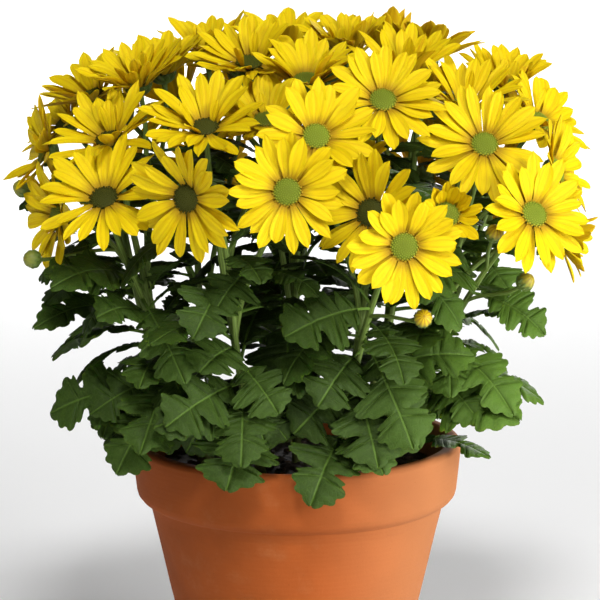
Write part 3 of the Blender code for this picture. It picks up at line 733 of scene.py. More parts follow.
@functools.cache
def solids_tree():
    """A search tree of every solid, and the node that each of its triangles belongs to."""
    points, faces, owners = [], [], []
    for name, node in frame["nodes"].items():
        first = len(points)
        points += corners(name).tolist()
        for face in node.data.polygons:
            faces.append([first + i for i in face.vertices])
            owners.append(name)
    return BVHTree.FromPolygons(points, faces), owners


# Rays, discs and cups


def ray_surface(bloom, turn, bend, length, width, draw, lift):
    """Middle surface of a ray as a grid, and the way that its top faces."""
    arch = draw.uniform(*RAY_ARCH)
    curl = draw.uniform(*RAY_CURL)
    roll = math.radians(draw.uniform(-RAY_ROLL, RAY_ROLL))
    pointed = draw.uniform(0, 1)
    notches = draw.choice(RAY_NOTCHES)
    depth = draw.uniform(*NOTCH_DEPTH)
    sway = draw.uniform(-RAY_SWAY, RAY_SWAY)
    s, c = RAY_ROWS[:, None], RAY_COLUMNS[None, :]
    angle = np.radians(bend + arch * (1 - 2 * RAY_ROWS))
    steps = np.diff(RAY_ROWS) * length
    turned_to = (angle[1:] + angle[:-1]) / 2
    out = RING_OUTER - 1.2 + np.concatenate([[0], np.cumsum(steps * np.cos(turned_to))])
    out *= (RING_OUTER + length * math.cos(math.radians(bend))) / max(out[-1], 1) if bend < 40 else 1
    up = np.concatenate([[0], np.cumsum(steps * np.sin(turned_to))])
    blunt = np.interp(RAY_ROWS, RAY_STATIONS, RAY_BLUNT)
    half = width / 2 * (blunt + pointed * (np.interp(RAY_ROWS, RAY_STATIONS, RAY_POINTED) - blunt))[:, None]
    back = length * 0.045 * c ** 2 * s ** 5
    notch = (0 * c, np.exp(-(c / 0.16) ** 2), np.exp(-((np.abs(c) - GROOVE) / 0.14) ** 2))[notches]
    back = back + depth * notch * np.clip((s - 0.9) / 0.1, 0, 1)
    across = c * half
    groove = np.exp(-((np.abs(c) - GROOVE) / 0.17) ** 2) * GROOVE_DEPTH * np.clip(s * 5, 0, 1)
    off = curl * half * c ** 2 - groove + lift * (1 - s) + sway * 0.2 * c * s
    rolled = roll * s
    cos, sin = np.cos(rolled), np.sin(rolled)
    across, off = across * cos - off * sin, across * sin + off * cos
    across = across + sway * s ** 2
    cos, sin = np.cos(angle)[:, None], np.sin(angle)[:, None]
    r = out[:, None] - back * cos - off * sin
    h = up[:, None] - back * sin + off * cos
    radial = bloom.outward(turn)
    beside = np.cross(bloom.axis, radial)
    middle = bloom.center + r[..., None] * radial + across[..., None] * beside + h[..., None] * bloom.axis
    above = -sin[..., None] * radial + cos[..., None] * bloom.axis + 0 * middle
    return middle, above


def ray_slab(middle):
    """A coarse form of a ray, to test what it would touch."""
    rows, columns = (2, 6, 10), (0, 4, 8)
    points = [Vector(middle[r, c]) for r in rows for c in columns]
    faces = []
    for r in range(2):
        for c in range(2):
            i = 3 * r + c
            faces += [(i, i + 1, i + 4), (i, i + 4, i + 3)]
    return points, faces


def wanted_rays(bloom, draw):
    """Layer, turn, width, and the lengths and bends to try, of each ray of a bloom."""
    base_width = 2 * RAY_HALF if bloom.count > 8 else 2 * RAY_HALF * 0.8
    wanted = []
    for layer in (0, 1):
        for i in range(bloom.count):
            turn = bloom.wedge * (i + 0.5 * layer) + draw.uniform(-0.08, 0.08)
            known = [ray for ray in (bloom.rays[i], bloom.rays[(i + 1) % bloom.count]) if ray]
            if not known or (not layer and not bloom.rays[i]):
                continue
            if layer:
                bend = sum(ray[0] for ray in known) / len(known) + draw.uniform(1, 12)
                length = sum(ray[1] for ray in known) / len(known) * draw.uniform(0.78, 0.98)
                tries = [(length * share, bend + change) for share in RAY_LENGTHS for change in RAY_BENDS]
            else:
                bend, length = bloom.rays[i]
                tries = [(length * draw.uniform(0.94, 1.03), bend + draw.uniform(-7, 7)), (length, bend)]
            wanted.append((layer, turn, base_width * draw.uniform(*RAY_WIDTHS), tries))
    for _ in range(0 if bloom.name in OPEN_BLOOMS else draw.choice(SHORT_RAYS)):
        i = draw.randrange(bloom.count)
        turn = bloom.wedge * (i + draw.uniform(-0.5, 0.5))
        share, rise, width = [draw.uniform(*span) for span in (SHORT_LENGTH, SHORT_RISE, SHORT_WIDTH)]
        if bloom.rays[i]:
            bend, length = bloom.rays[i]
            tries = [(length * share, bend + rise + change) for change in RAY_BENDS]
            wanted.append((2, turn, base_width * width, tries))
    return wanted


def add_rays(piece, bloom, draw, thick, placed):
    """The rays of a bloom: a layer over the solid's rays, one between them, and short ones inside."""
    tree, owners = solids_tree()
    plane = grid_plane(RAY_COLUMNS, RAY_ROWS)
    tone = draw.uniform(0, 1)
    for layer, turn, width, tries in wanted_rays(bloom, draw):
        state = draw.getstate()
        for length, bend in tries:
            draw.setstate(state)
            middle, above = ray_surface(bloom, turn, bend, length, width, draw, LAYER_LIFTS[layer])
            slab = BVHTree.FromPolygons(*ray_slab(middle))
            touched = any(owners[j] != bloom.name for _, j in slab.overlap(tree))
            if not touched and not placed.touches(slab):
                break
        else:
            if layer:
                continue
        c = RAY_COLUMNS[None, :] + 0 * RAY_ROWS[:, None]
        body = thick * np.sqrt(np.clip(1 - c ** 2, 0, 1)) * (1.5 - RAY_ROWS[:, None])
        add_lens(piece, middle, above, body, plane, tone * 0.5 + draw.uniform(0, 0.5), layer / 2)
        placed.add(*ray_slab(middle))


def add_disc(piece, bloom, draw, florets):
    """The disc: a low dome packed with florets in spirals, the outer ones open."""
    side, beside, axis = bloom.side, bloom.top, bloom.axis
    points = np.array([bloom.center + axis * h for h, _ in DISC])
    form, faces, plane = tube(points, [r for _, r in DISC], 16, 0, bloom.center + axis * DISC_TOP)
    oldest = OPEN_AGE if bloom.name in OPEN_BLOOMS else CLOSED_AGE
    # Painted shade: the discs of blooms in shade are darkened fully; the others get a random darkening for
    # their age
    darkening = 1.0 if bloom.name in SHADED_DISC_BLOOMS else draw.uniform(0, oldest)
    piece.add(form, faces, plane, (0.0, 0.5, darkening))
    i = np.arange(FLORET_SIDES)
    j = (i + 1) % FLORET_SIDES
    turns = i * math.tau / FLORET_SIDES
    first, last = np.full(FLORET_SIDES, 2 * FLORET_SIDES), np.full(FLORET_SIDES, 2 * FLORET_SIDES + 1)
    quads = np.column_stack([i, j, FLORET_SIDES + j, FLORET_SIDES + i])
    top = np.column_stack([FLORET_SIDES + i, FLORET_SIDES + j, first])
    faces = [quads, np.concatenate([top, np.column_stack([j, i, last])])]
    for k in range(florets):
        share = math.sqrt((k + 0.5) / florets)
        reach = share * DISC_EDGE * 0.99
        turn = math.radians(GOLDEN_TURN * k)
        dome = 2.6 - 1.5 * share ** 2.4
        out = side * math.cos(turn) + beside * math.sin(turn)
        foot = bloom.center + out * reach + axis * (dome - 0.5)
        lean = unit(axis + out * (0.15 + 0.75 * share ** 3))
        across = unit(np.cross(lean, beside + side * 0.3))
        second = np.cross(lean, across)
        girth = 0.36 + 0.08 * share
        height = 0.68 + 0.7 * share ** 5 + draw.uniform(-0.08, 0.14) * share
        ring = np.outer(np.cos(turns), across) + np.outer(np.sin(turns), second)
        is_open = share > OPEN_FLORETS
        cap = 1.12 if is_open else 0.72
        form = np.concatenate([foot + ring * girth * 0.8, foot + ring * girth * cap + lean * height,
                               [foot + lean * (height + (0.0 if is_open else 0.25))], [foot]])
        tips = [0] * FLORET_SIDES + [1] * FLORET_SIDES + [1, 0]
        piece.add(form, faces, None, [(share, tip, darkening) for tip in tips])


BRACT_PLANE = grid_plane(BRACT_COLUMNS, BRACT_ROWS)


def bract(foot, axis, out, height, reach, half, hug):
    """Middle surface of a bract, whose sides hug what it covers."""
    across = half[:, None] * BRACT_COLUMNS[None, :]
    return (foot + height[:, None, None] * axis + reach[:, None, None] * out
            + across[..., None] * np.cross(axis, out) - hug * np.abs(across)[..., None] * out)


def add_cup(piece, bloom, draw):
    """The green cup: a bell with three rows of overlapping bracts."""
    axis = bloom.axis
    points = np.array([bloom.center + axis * h for h, _ in BELL])
    form, faces, plane = tube(points, [r for _, r in BELL], 14)
    piece.add(form, faces, plane, (0.3, 0.2, 0))
    rows = BRACT_ROWS
    for row, (start, stop, width) in enumerate(CUP_BRACTS):
        for i in range(CUP_COUNT):
            out = bloom.outward(math.tau * (i + row / 3) / CUP_COUNT + draw.uniform(-0.06, 0.06))
            height = start + (stop + draw.uniform(-0.3, 0.3) - start) * rows
            reach = np.interp(height, *zip(*BELL[:6], (0.2, 6.4)))
            reach = reach + 0.25 + 0.2 * (3 - row) * (0.4 + rows) + 0.5 * rows ** 3
            half = width / 2 * np.array([0.65, 0.95, 1.0, 0.72, 0.15])
            middle = bract(bloom.center, axis, out, height, reach, half, 0.35)
            above = out - axis * 0.4 + 0 * middle
            thick = np.full(BRACT_PLANE.shape[:2], BRACT_THICK)
            add_lens(piece, middle, above, thick, BRACT_PLANE, draw.uniform(0, 1))


# Leaves, stems and buds


@functools.cache
def leaf_rows():
    """The leaf's outline stations, half-widths and veins, and the midrib station where each row starts."""
    outline = np.array(LEAF_OUTLINE)
    wished = outline[:, 0] - 0.16 * outline[:, 1]
    wished = np.maximum.accumulate(np.clip(wished, 0.205, 1))
    even = np.linspace(0.205, 1, len(outline))
    midrib = 0.72 * wished + 0.28 * even
    return outline[:, 0], outline[:, 1], outline[:, 2], np.maximum.accumulate(midrib)


def side_veins():
    """Midrib station, and run along and across, of each side vein to a lobe's tip."""
    stations, halves, veins, midrib = leaf_rows()
    return [(midrib[i], stations[i] - midrib[i], halves[i]) for i in np.nonzero(veins == 1)[0]]


def add_leaf(piece, base, tip, face, width, draw, thick, columns=LEAF_COLUMNS, deep=False):
    """A lobed, toothed leaf with its stalk: quilted between its veins, arched and a little twisted.
    One deep among the others keeps its lobes and loses its teeth."""
    along = tip - base
    length = np.linalg.norm(along)
    forward = along / length
    above = unit(face - forward * face.dot(forward))
    side = np.cross(forward, above)
    stations, halves, veins, midrib = leaf_rows()
    if deep:
        numbers = np.arange(len(stations))
        lobes = (halves >= np.roll(halves, 1)) & (halves >= np.roll(halves, -1)) & (veins > 0)
        sinuses = (halves <= np.roll(halves, 1)) & (halves <= np.roll(halves, -1))
        kept = (numbers % 2 == 0) | lobes | sinuses | (numbers == len(stations) - 1)
        stations, halves, veins, midrib = stations[kept], halves[kept], veins[kept], midrib[kept]
    half = width / 2
    loose = min(1, max(CALMEST, (CALM_HEIGHT - tip[2]) / CALM_RANGE))
    twist = math.radians(draw.uniform(-LEAF_TWIST, LEAF_TWIST)) * loose
    wave = draw.uniform(*LEAF_WAVE) * loose
    phase = draw.uniform(0, 6)
    fold = draw.uniform(*LEAF_FOLD) * loose
    curl = draw.uniform(*LEAF_CURL) * loose
    grids = []
    v = np.array(columns)[None, :]
    for hand in (-1, 1):
        drift = np.interp(np.arange(len(stations)), np.linspace(0, len(stations) - 1, 9),
                          [draw.uniform(-1, 1) for _ in range(9)])
        x_out = stations + LEAF_DRIFT * drift
        x_out[-1] = 1.0
        y_out = halves * (1 + LEAF_SPREAD * np.roll(drift, 5))
        x = midrib[:, None] + (x_out - midrib)[:, None] * v
        y = y_out[:, None] * v
        reach = y * half
        ridge = veins[:, None] * (1 - (1 - veins[:, None]) * (v < 0.4))
        height = LEAF_ARCH * length * 4 * x * (1 - x) + (fold - 0.10) * reach
        height = height + QUILTING * np.sin(math.pi * np.clip(v, 0, 1)) * (0.75 - ridge) * (half / 18)
        height = height + wave * np.sin(phase * hand + 17 * x) * v ** 2 * y
        height = height - curl * length * np.clip((x - 0.6) / 0.4, 0, 1) ** 2
        angle = twist * (x - 0.2) * hand
        flat = reach * np.cos(angle)
        height = height + reach * np.sin(angle)
        grids.append((x, hand * y, hand * flat, height))
    x, y, flat, height = [np.concatenate([left[:, :0:-1], right], axis=1) for left, right in zip(*grids)]
    middle = base + forward * (x * length)[..., None] + side * flat[..., None] + above * height[..., None]
    column = np.concatenate([v[:, :0:-1], v], axis=1) + 0 * x
    body = thick * (1 - column ** 4) + 1.1 * (column == 0) * (1.05 - x) * (length / 55)
    middle = middle - above * (0.45 * (column == 0) * (1.05 - x))[..., None]
    tone = draw.uniform(0, 1)
    add_lens(piece, middle, above + 0 * middle, body, np.stack([y, x], axis=-1), tone, 0.5)
    spine = [base + along * s + above * (LEAF_ARCH * length * 4 * s * (1 - s) - 0.2)
             for s in np.linspace(0, 0.27, 6)]
    form, faces, plane = tube(spine, np.linspace(1.05, 0.7, 6) * max(length / 55, 0.75), 7)
    piece.add(form, faces, plane * (0, 0), (tone, 0, 1))


def add_stalk(piece, stalk, root, draw):
    """A ridged stem or stalk up to the neck of its bloom."""
    length = np.linalg.norm(stalk.end - stalk.foot)
    count = max(8, int(length / 5))
    shares = np.linspace(0, 1, count + 1)
    points = [stalk.at(t) for t in shares]
    radii = stalk.thick + (NECK_THICK - stalk.thick) * shares
    radii = radii * (1 + 0.05 * np.array([draw.uniform(-1, 1) for _ in shares]))
    radii[-2:] *= (1.05, 1.25)
    if root is not None:
        points.insert(0, root)
        radii = np.concatenate([[stalk.thick], radii])
    form, faces, plane = tube(points, radii, 14, 0.07)
    darkening = 0.0 if root is None else 0.35
    marks = np.zeros((len(form), 3))
    marks[:, 0] = draw.uniform(0, 1)
    marks[:, 1] = np.clip(1 - plane[:, 1], 0, 1) * (0.5 + darkening)
    piece.add(form, faces, plane, marks)


def add_bud(stalks_piece, buds_piece, foot, facing, yellow, draw):
    """A closed bud on its thin stalk: rows of bracts round a tight cone of rays."""
    axis = heading(*facing)
    foot = np.array(foot, float)
    number, base = nearest(foot - axis * BUD_STALK_REACH - UP * BUD_STALK_DROP, BUD_STALK_LOWEST)
    start = base + (foot - base) * BUD_STALK_PULL + UP * BUD_STALK_RISE
    bend = (base, start, foot - axis * BUD_STALK_REACH / 2, foot)
    points = [bezier(*bend, t) for t in np.linspace(0, 1, 14)] + [foot + axis * 1.2]
    form, faces, plane = tube(points, [BUD_STALK] * 13 + [1.05, 1.5], 10, 0.06)
    stalks_piece[number].add(form, faces, plane, (draw.uniform(0, 1), 0.1, 0))
    side = unit(np.cross(axis, UP))
    beside = np.cross(side, axis)
    heights, reaches = zip(*BUD)
    form, faces, plane = tube([foot + axis * h for h in heights], reaches, 22, 0.035, foot + axis * 9.3)
    marks = np.column_stack([plane[:, 1], np.full(len(form), yellow), np.ones(len(form))])
    buds_piece[number].add(form, faces, plane, marks)
    rows = BRACT_ROWS
    for row, (start, stop, width) in enumerate(BUD_BRACTS):
        for i in range(BUD_COUNT):
            turn = math.tau * (i + row / 2) / BUD_COUNT
            out = side * math.cos(turn) + beside * math.sin(turn)
            height = start + (stop + draw.uniform(-0.5, 0.5) - start) * rows
            reach = np.interp(height, heights, reaches) + 0.25 + 0.2 * (1 - row)
            half = width / 2 * np.array([0.7, 1.0, 0.95, 0.65, 0.15])
            surface = bract(foot, axis, out, height, reach, half, 0.4)
            lens = Piece()
            thick = np.full(BRACT_PLANE.shape[:2], BUD_BRACT_THICK)
            add_lens(lens, surface, out + 0 * surface, thick, BRACT_PLANE, 0.2)
            marks = (0.15, yellow * 0.3, 0.0)
            buds_piece[number].add(lens.points[0], [np.array(lens.faces)], lens.plane[0], marks)


# Finishes


class Finish:
    """Builds a procedural material from its nodes."""

    def __init__(self, name):
        self.material = bpy.data.materials.new(name)
        self.material.use_nodes = True
        self.tree = self.material.node_tree
        self.shader = self.tree.nodes["Principled BSDF"]

    def node(self, kind, *links, **settings):
        """A node; links go to its inputs in order, and plain values are set on them."""
        made = self.tree.nodes.new(kind)
        for key, value in settings.items():
            setattr(made, key, value)
        for i, source in enumerate(links):
            if source is None:
                continue
            if isinstance(source, bpy.types.NodeSocket):
                self.tree.links.new(source, made.inputs[i])
            else:
                made.inputs[i].default_value = source
        return made

    def math(self, operation, *values, clamp=False):
        """Result of a math node."""
        return self.node("ShaderNodeMath", *values, operation=operation, use_clamp=clamp).outputs[0]

    times = functools.partialmethod(math, "MULTIPLY")
    plus = functools.partialmethod(math, "ADD")
    minus = functools.partialmethod(math, "SUBTRACT")
    absolute = functools.partialmethod(math, "ABSOLUTE")
    larger = functools.partialmethod(math, "MAXIMUM")

    def ridges(self, turn, count):
        """A value that rises from 0 to 1 and falls again so many times in a turn."""
        return self.times(self.plus(self.math("COSINE", self.times(turn, math.tau * count)), 1.0), 0.5)

    def noise(self, vector, scale, detail=3.0, roughness=0.5):
        """Value of a noise texture."""
        made = self.node("ShaderNodeTexNoise", vector)
        made.inputs["Scale"].default_value = scale
        made.inputs["Detail"].default_value = detail
        made.inputs["Roughness"].default_value = roughness
        return made.outputs[0]

    def mix(self, factor, first, second):
        """A mix of two colours."""
        made = self.tree.nodes.new("ShaderNodeMix")
        made.data_type = "RGBA"
        for key, value in (("Factor", factor), ("A", first), ("B", second)):
            socket = next(s for s in made.inputs if s.name == key and s.enabled)
            if isinstance(value, bpy.types.NodeSocket):
                self.tree.links.new(value, socket)
            else:
                socket.default_value = value if key == "Factor" else (*value[:3], 1)
        return next(s for s in made.outputs if s.enabled)

    def ramp(self, value, low, high):
        """A value stretched so that low gives 0 and high gives 1."""
        made = self.node("ShaderNodeMapRange", value, low, high, 0.0, 1.0)
        made.interpolation_type = "SMOOTHSTEP"
        return made.outputs[0]

    def place(self):
        """Coordinates in the frame."""
        return self.node("ShaderNodeTexCoord").outputs["Object"]

    def parts(self, vector):
        """The three numbers of a vector."""
        return self.node("ShaderNodeSeparateXYZ", vector).outputs

    def marks(self):
        """The three numbers that each point carries."""
        read = self.node("ShaderNodeAttribute", attribute_name="marks")
        return self.parts(read.outputs["Vector"])

    def plane(self):
        """Across and along coordinates on a blade or stem."""
        read = self.node("ShaderNodeUVMap", uv_map="plane")
        return self.parts(read.outputs[0])

    def done(self, color, roughness, bump=None, strength=0.3, distance=0.5, **sockets):
        """Joins the colour, roughness and bump to the shader."""
        self.tree.links.new(color, self.shader.inputs["Base Color"])
        if isinstance(roughness, bpy.types.NodeSocket):
            self.tree.links.new(roughness, self.shader.inputs["Roughness"])
        else:
            self.shader.inputs["Roughness"].default_value = roughness
        if bump is not None:
            made = self.node("ShaderNodeBump")
            made.inputs["Strength"].default_value = strength
            made.inputs["Distance"].default_value = distance * MM
            self.tree.links.new(bump, made.inputs["Height"])
            self.tree.links.new(made.outputs[0], self.shader.inputs["Normal"])
        for name, value in sockets.items():
            self.shader.inputs[name.replace("_", " ")].default_value = value
        return self.material


def shade(color, factor):
    """A colour made darker or lighter."""
    return tuple(min(c * factor, 1) for c in color[:3])


@functools.cache
def terracotta():
    """Fired clay: mottled orange with fine grains and the faint rings of the wheel, and a painted sheen that
    lightens the right side, towards the lamps.
    """
    sizes = bpy.context.scene.chrysanthemum_pot
    f = Finish("terracotta_clay")
    where = f.place()
    clay = tuple(sizes.clay)
    broad = f.ramp(f.noise(where, 22, 4, 0.6), 0.3, 0.7)
    color = f.mix(broad, shade(clay, 0.9), shade(clay, 1.07))
    bloom = f.ramp(f.noise(where, 60, 6, 0.65), 0.52, 0.75)
    across, _, height = f.parts(where)
    # Painted light: the right side of the pot, towards the lamps, is lightened towards the chalk colour as a
    # sheen
    painted_lit_side = f.times(f.ramp(across, 0.0, 0.078), 0.62)
    amount = f.larger(painted_lit_side, f.times(bloom, 0.2))
    color = f.mix(amount, color, tuple(sizes.chalk_and_sheen))
    grains = f.node("ShaderNodeTexVoronoi", where)
    grains.inputs["Scale"].default_value = 900
    specks = f.ramp(grains.outputs["Distance"], 0.28, 0.12)
    sparse = f.ramp(f.noise(where, 700, 2), 0.62, 0.72)
    color = f.mix(f.times(f.times(specks, sparse), 0.6), color, shade(clay, 0.45))
    pores = f.noise(where, 1500, 3, 0.6)
    rings = f.math("SINE", f.times(f.plus(height, f.times(broad, 0.0016)), 2600))
    relief = f.plus(f.times(pores, 0.5), f.times(rings, 0.07))
    relief = f.plus(relief, f.times(f.noise(where, 180, 4), 0.6))
    rough = f.plus(0.68, f.times(pores, 0.2))
    return f.done(color, rough, relief, 0.35, 0.5, Specular_IOR_Level=0.12)


@functools.cache
def potting_mix():
    """Dark crumbly peat with bark."""
    f = Finish("potting_mix")
    where = f.place()
    tone = f.marks()[0]
    soil = tuple(bpy.context.scene.chrysanthemum_pot.soil)
    color = f.mix(f.ramp(f.noise(where, 260, 5, 0.7), 0.3, 0.7), shade(soil, 0.45), shade(soil, 1.5))
    color = f.mix(f.times(tone, 0.7), color, (0.11, 0.062, 0.032))
    relief = f.noise(where, 900, 5, 0.7)
    rough = f.plus(0.82, f.times(relief, 0.16))
    return f.done(color, rough, relief, 0.9, 0.8)


@functools.cache
def ray_finish():
    """Lemon yellow rays: fine ochre lengthwise veins, and painted shade in the grooves, at the base beside the
    disc and on the undersides.
    """
    sizes = bpy.context.scene.chrysanthemum_blooms
    f = Finish("yellow_rays")
    tone, under, _ = f.marks()
    c, s, _ = f.plane()
    yellow, warm = tuple(sizes.yellow), tuple(sizes.ochre)
    tint = f.mix(f.times(tone, 0.5), yellow, shade(yellow, 0.88))
    lines = f.node("ShaderNodeCombineXYZ", f.times(c, 9.0), f.times(s, 0.8), f.times(tone, 40.0))
    veins = f.ramp(f.noise(lines.outputs[0], 1.6, 3, 0.6), 0.42, 0.72)
    color = f.mix(f.times(veins, 0.30), tint, warm)
    # Painted shade in the grooves along each ray
    groove = f.ramp(f.absolute(f.minus(f.absolute(c), 0.45)), 0.2, 0.02)
    color = f.mix(f.times(groove, 0.30), color, warm)
    # Painted shade: the ray darkens to a brown base beside the disc
    base = f.ramp(f.plus(s, f.times(veins, 0.10)), 0.40, 0.02)
    color = f.mix(f.times(base, 0.8), color, tuple(sizes.base))
    # Painted shade on the rays' undersides
    color = f.mix(f.times(under, 0.5), color, shade(warm, 0.95))
    relief = f.plus(veins, f.times(f.noise(f.place(), 1800, 2), 0.25))
    rough = f.plus(0.55, f.times(veins, 0.2))
    return f.done(color, rough, relief, 0.3, 0.3, Subsurface_Weight=0.2, Subsurface_Scale=0.0012,
                  Subsurface_Radius=(1.0, 0.6, 0.05), Specular_IOR_Level=0.12)


@functools.cache
def disc_finish():
    """Green disc florets that turn yellow at the rim of the disc, with painted shade at the florets' feet and
    on the discs of blooms in shade.
    """
    sizes = bpy.context.scene.chrysanthemum_blooms
    f = Finish("disc_florets")
    share, tip, darkening = f.marks()
    green = tuple(sizes.disc)
    tint = f.mix(f.ramp(share, 0.1, 0.85), shade(green, 0.85), shade(green, 1.2))
    # Painted shade between the florets: each floret is darker towards its foot
    color = f.mix(f.plus(f.times(tip, 0.4), 0.5), shade(green, 0.30), tint)
    edge = f.times(f.ramp(share, 0.80, 1.0), tip)
    color = f.mix(f.times(edge, 0.75), color, tuple(sizes.ochre))
    # Painted shade on the discs of blooms in shade, and a random darkening for age on the others
    color = f.mix(f.times(darkening, 0.95), color, (0.036, 0.034, 0.005))
    grain = f.noise(f.place(), 2600, 3)
    return f.done(f.mix(f.times(grain, 0.15), color, shade(green, 0.5)), 0.7, grain, 0.3, 0.2,
                  Specular_IOR_Level=0.12)


@functools.cache
def leaf_finish():
    """Dark green leaf with pale veins, a mottled blade and a paler underside; painted shade along the veins
    and on the leaves deep in the plant, and painted light on the leaves towards the right.
    """
    sizes = bpy.context.scene.chrysanthemum_leaves
    f = Finish("leaf_green")
    where = f.place()
    tone, under, stem = f.marks()
    y, x, _ = f.plane()
    green, pale = tuple(sizes.green), tuple(sizes.vein)
    tint = f.mix(tone, shade(green, 0.75), shade(green, 1.35))
    across, depth, _ = f.parts(where)
    deep = f.math("SQRT", f.plus(f.times(across, across), f.times(depth, depth)))
    # Painted shade: leaves near the plant's axis, deep among the others, are darkened
    tint = f.mix(f.ramp(deep, 0.095, 0.055), tint, shade(green, 0.5))
    # Painted light: leaves towards the right, where the lamps are, are lightened
    tint = f.mix(f.times(f.ramp(across, 0.03, 0.11), 0.9), tint, shade(green, 2.8))
    blotch = f.ramp(f.noise(where, 75, 4, 0.6), 0.3, 0.7)
    color = f.mix(f.times(blotch, 0.25), tint, shade(green, 1.5))
    aside = f.absolute(y)
    veins = f.ramp(aside, 0.045, 0.012)
    shadow = f.ramp(aside, 0.16, 0.04)
    for station, run, reach in side_veins():
        line = f.absolute(f.minus(f.minus(x, station), f.times(aside, run / reach)))
        inside = f.ramp(aside, reach, reach * 0.8)
        veins = f.larger(veins, f.times(f.ramp(line, 0.009, 0.002), f.times(inside, 0.6)))
        shadow = f.larger(shadow, f.ramp(line, 0.03, 0.008))
    net = f.node("ShaderNodeTexVoronoi", where, feature="DISTANCE_TO_EDGE")
    net.inputs["Scale"].default_value = 420
    mesh = f.ramp(net.outputs["Distance"], 0.10, 0.01)
    color = f.mix(f.times(mesh, 0.09), color, pale)
    color = f.mix(f.times(shadow, 0.28), color, shade(green, 0.6))
    color = f.mix(f.times(veins, 0.55), color, pale)
    color = f.mix(f.times(under, 0.55), color, tuple(sizes.underside))
    color = f.mix(f.times(f.ramp(stem, 0.7, 0.95), 0.8), color, pale)
    relief = f.minus(f.times(blotch, 0.4), f.plus(veins, f.times(mesh, 0.25)))
    rough = f.plus(0.52, f.times(f.noise(where, 300, 3), 0.22))
    return f.done(color, rough, relief, 0.6, 0.6, Subsurface_Weight=0.08, Subsurface_Scale=0.001,
                  Subsurface_Radius=(0.5, 1.0, 0.1), Specular_IOR_Level=0.15)


@functools.cache
def stem_finish():
    """Light green stems with pale ridges, darker and woodier at the foot."""
    sizes = bpy.context.scene.chrysanthemum_leaves
    f = Finish("stem_green")
    where = f.place()
    tone, darkening, _ = f.marks()
    turn, _, _ = f.plane()
    green = tuple(sizes.stem)
    ridge = f.ridges(turn, 7)
    color = f.mix(ridge, shade(green, 0.72), shade(green, 1.2))
    blotch = f.ramp(f.noise(where, 120, 4, 0.6), 0.4, 0.7)
    color = f.mix(f.times(blotch, 0.4), color, shade(green, 0.62))
    color = f.mix(f.times(tone, 0.3), color, shade(green, 0.75))
    color = f.mix(f.times(f.ramp(darkening, 0.45, 0.95), 0.65), color, (0.075, 0.055, 0.022))
    relief = f.noise(where, 900, 3)
    rough = f.plus(0.5, f.times(relief, 0.2))
    return f.done(color, rough, relief, 0.3, 0.3, Specular_IOR_Level=0.2)


@functools.cache
def cup_finish():
    """Bracts of the cup: green with a dark keel and a pale margin."""
    sizes = bpy.context.scene.chrysanthemum_leaves
    f = Finish("bract_green")
    tone, _, _ = f.marks()
    c, s, _ = f.plane()
    green = tuple(sizes.stem)
    color = f.mix(tone, shade(green, 0.42), shade(green, 0.75))
    rim = f.ramp(f.absolute(c), 0.6, 1.0)
    color = f.mix(f.times(rim, 0.5), color, tuple(sizes.vein))
    color = f.mix(f.times(f.ramp(s, 0.75, 1.0), 0.4), color, (0.12, 0.09, 0.03))
    relief = f.noise(f.place(), 1400, 3)
    return f.done(color, 0.52, relief, 0.3, 0.25, Specular_IOR_Level=0.35)


@functools.cache
def bud_finish():
    """Buds: green bracts round yellow rays that show at the top, with painted shade at the tip where the rays
    meet.
    """
    blooms, leaves = bpy.context.scene.chrysanthemum_blooms, bpy.context.scene.chrysanthemum_leaves
    f = Finish("bud_green_and_yellow")
    height, yellow, rays = f.marks()
    turn, _, _ = f.plane()
    green = tuple(leaves.stem)
    pleat = f.ridges(turn, 11)
    top = f.mix(pleat, tuple(blooms.ochre), tuple(blooms.yellow))
    amount = f.times(f.ramp(height, 0.25, 0.75), f.times(yellow, rays), clamp=True)
    color = f.mix(amount, shade(green, 0.8), top)
    # Painted shade at the bud's tip, where the rays meet
    painted_tip_shade = f.times(f.ramp(height, 0.9, 1.0), rays)
    color = f.mix(f.times(painted_tip_shade, 0.7), color, tuple(blooms.base))
    return f.done(color, 0.5, f.noise(f.place(), 1200, 3), 0.3, 0.25, Specular_IOR_Level=0.35)


# Sizes and colours


def color_setting(name, description, default):
    """A colour that a user may change."""
    return FloatVectorProperty(name=name, description=description, subtype="COLOR", default=default,
                               min=0, max=1)


def length_setting(name, description, default, low, high):
    """A length that a user may change."""
    return FloatProperty(name=name, description=description, unit="LENGTH", default=default, min=low, max=high)


def power_setting(name, description, default):
    """The strength of a lamp."""
    return FloatProperty(name=name, description=description, unit="POWER", default=default, min=0, max=500)


class PotSettings(bpy.types.PropertyGroup):
    """Colours of the clay and the soil, and the soil's crumbs"""

    clay: color_setting("Clay", "Colour of the fired clay", (0.275, 0.063, 0.011))
    # Also the colour of the painted sheen on the pot's lit right side
    chalk_and_sheen: color_setting("Chalk", "Colour of the clay's pale mottling", (0.36, 0.158, 0.062))
    soil: color_setting("Soil", "Colour of the potting mix", (0.026, 0.016, 0.010))
    crumb: length_setting("Crumb size", "Radius of the largest crumbs", 0.0028, 0.0005, 0.006)
    crumbs: IntProperty(name="Crumbs", description="How many lie on the soil", default=420, min=0, max=2000)


class BloomSettings(bpy.types.PropertyGroup):
    """Colours and sizes of the blooms"""

    yellow: color_setting("Yellow", "Colour of the rays", (0.75, 0.55, 0.002))
    # Also the colour of the painted shade in the rays' grooves and on their undersides
    ochre: color_setting("Ochre", "Colour of the rays' veins and undersides", (0.50, 0.27, 0.006))
    # Also the colour of the painted shade beside the disc and at the buds' tips
    base: color_setting("Base", "Colour of the rays beside the disc", (0.26, 0.12, 0.008))
    disc: color_setting("Disc", "Colour of the disc florets", (0.25, 0.32, 0.025))
    thickness: length_setting("Ray thickness", "Thickness of a ray at its middle", 0.0004, 0.0002, 0.001)
    florets: IntProperty(name="Florets", description="How many fill a disc", default=130, min=20, max=200)


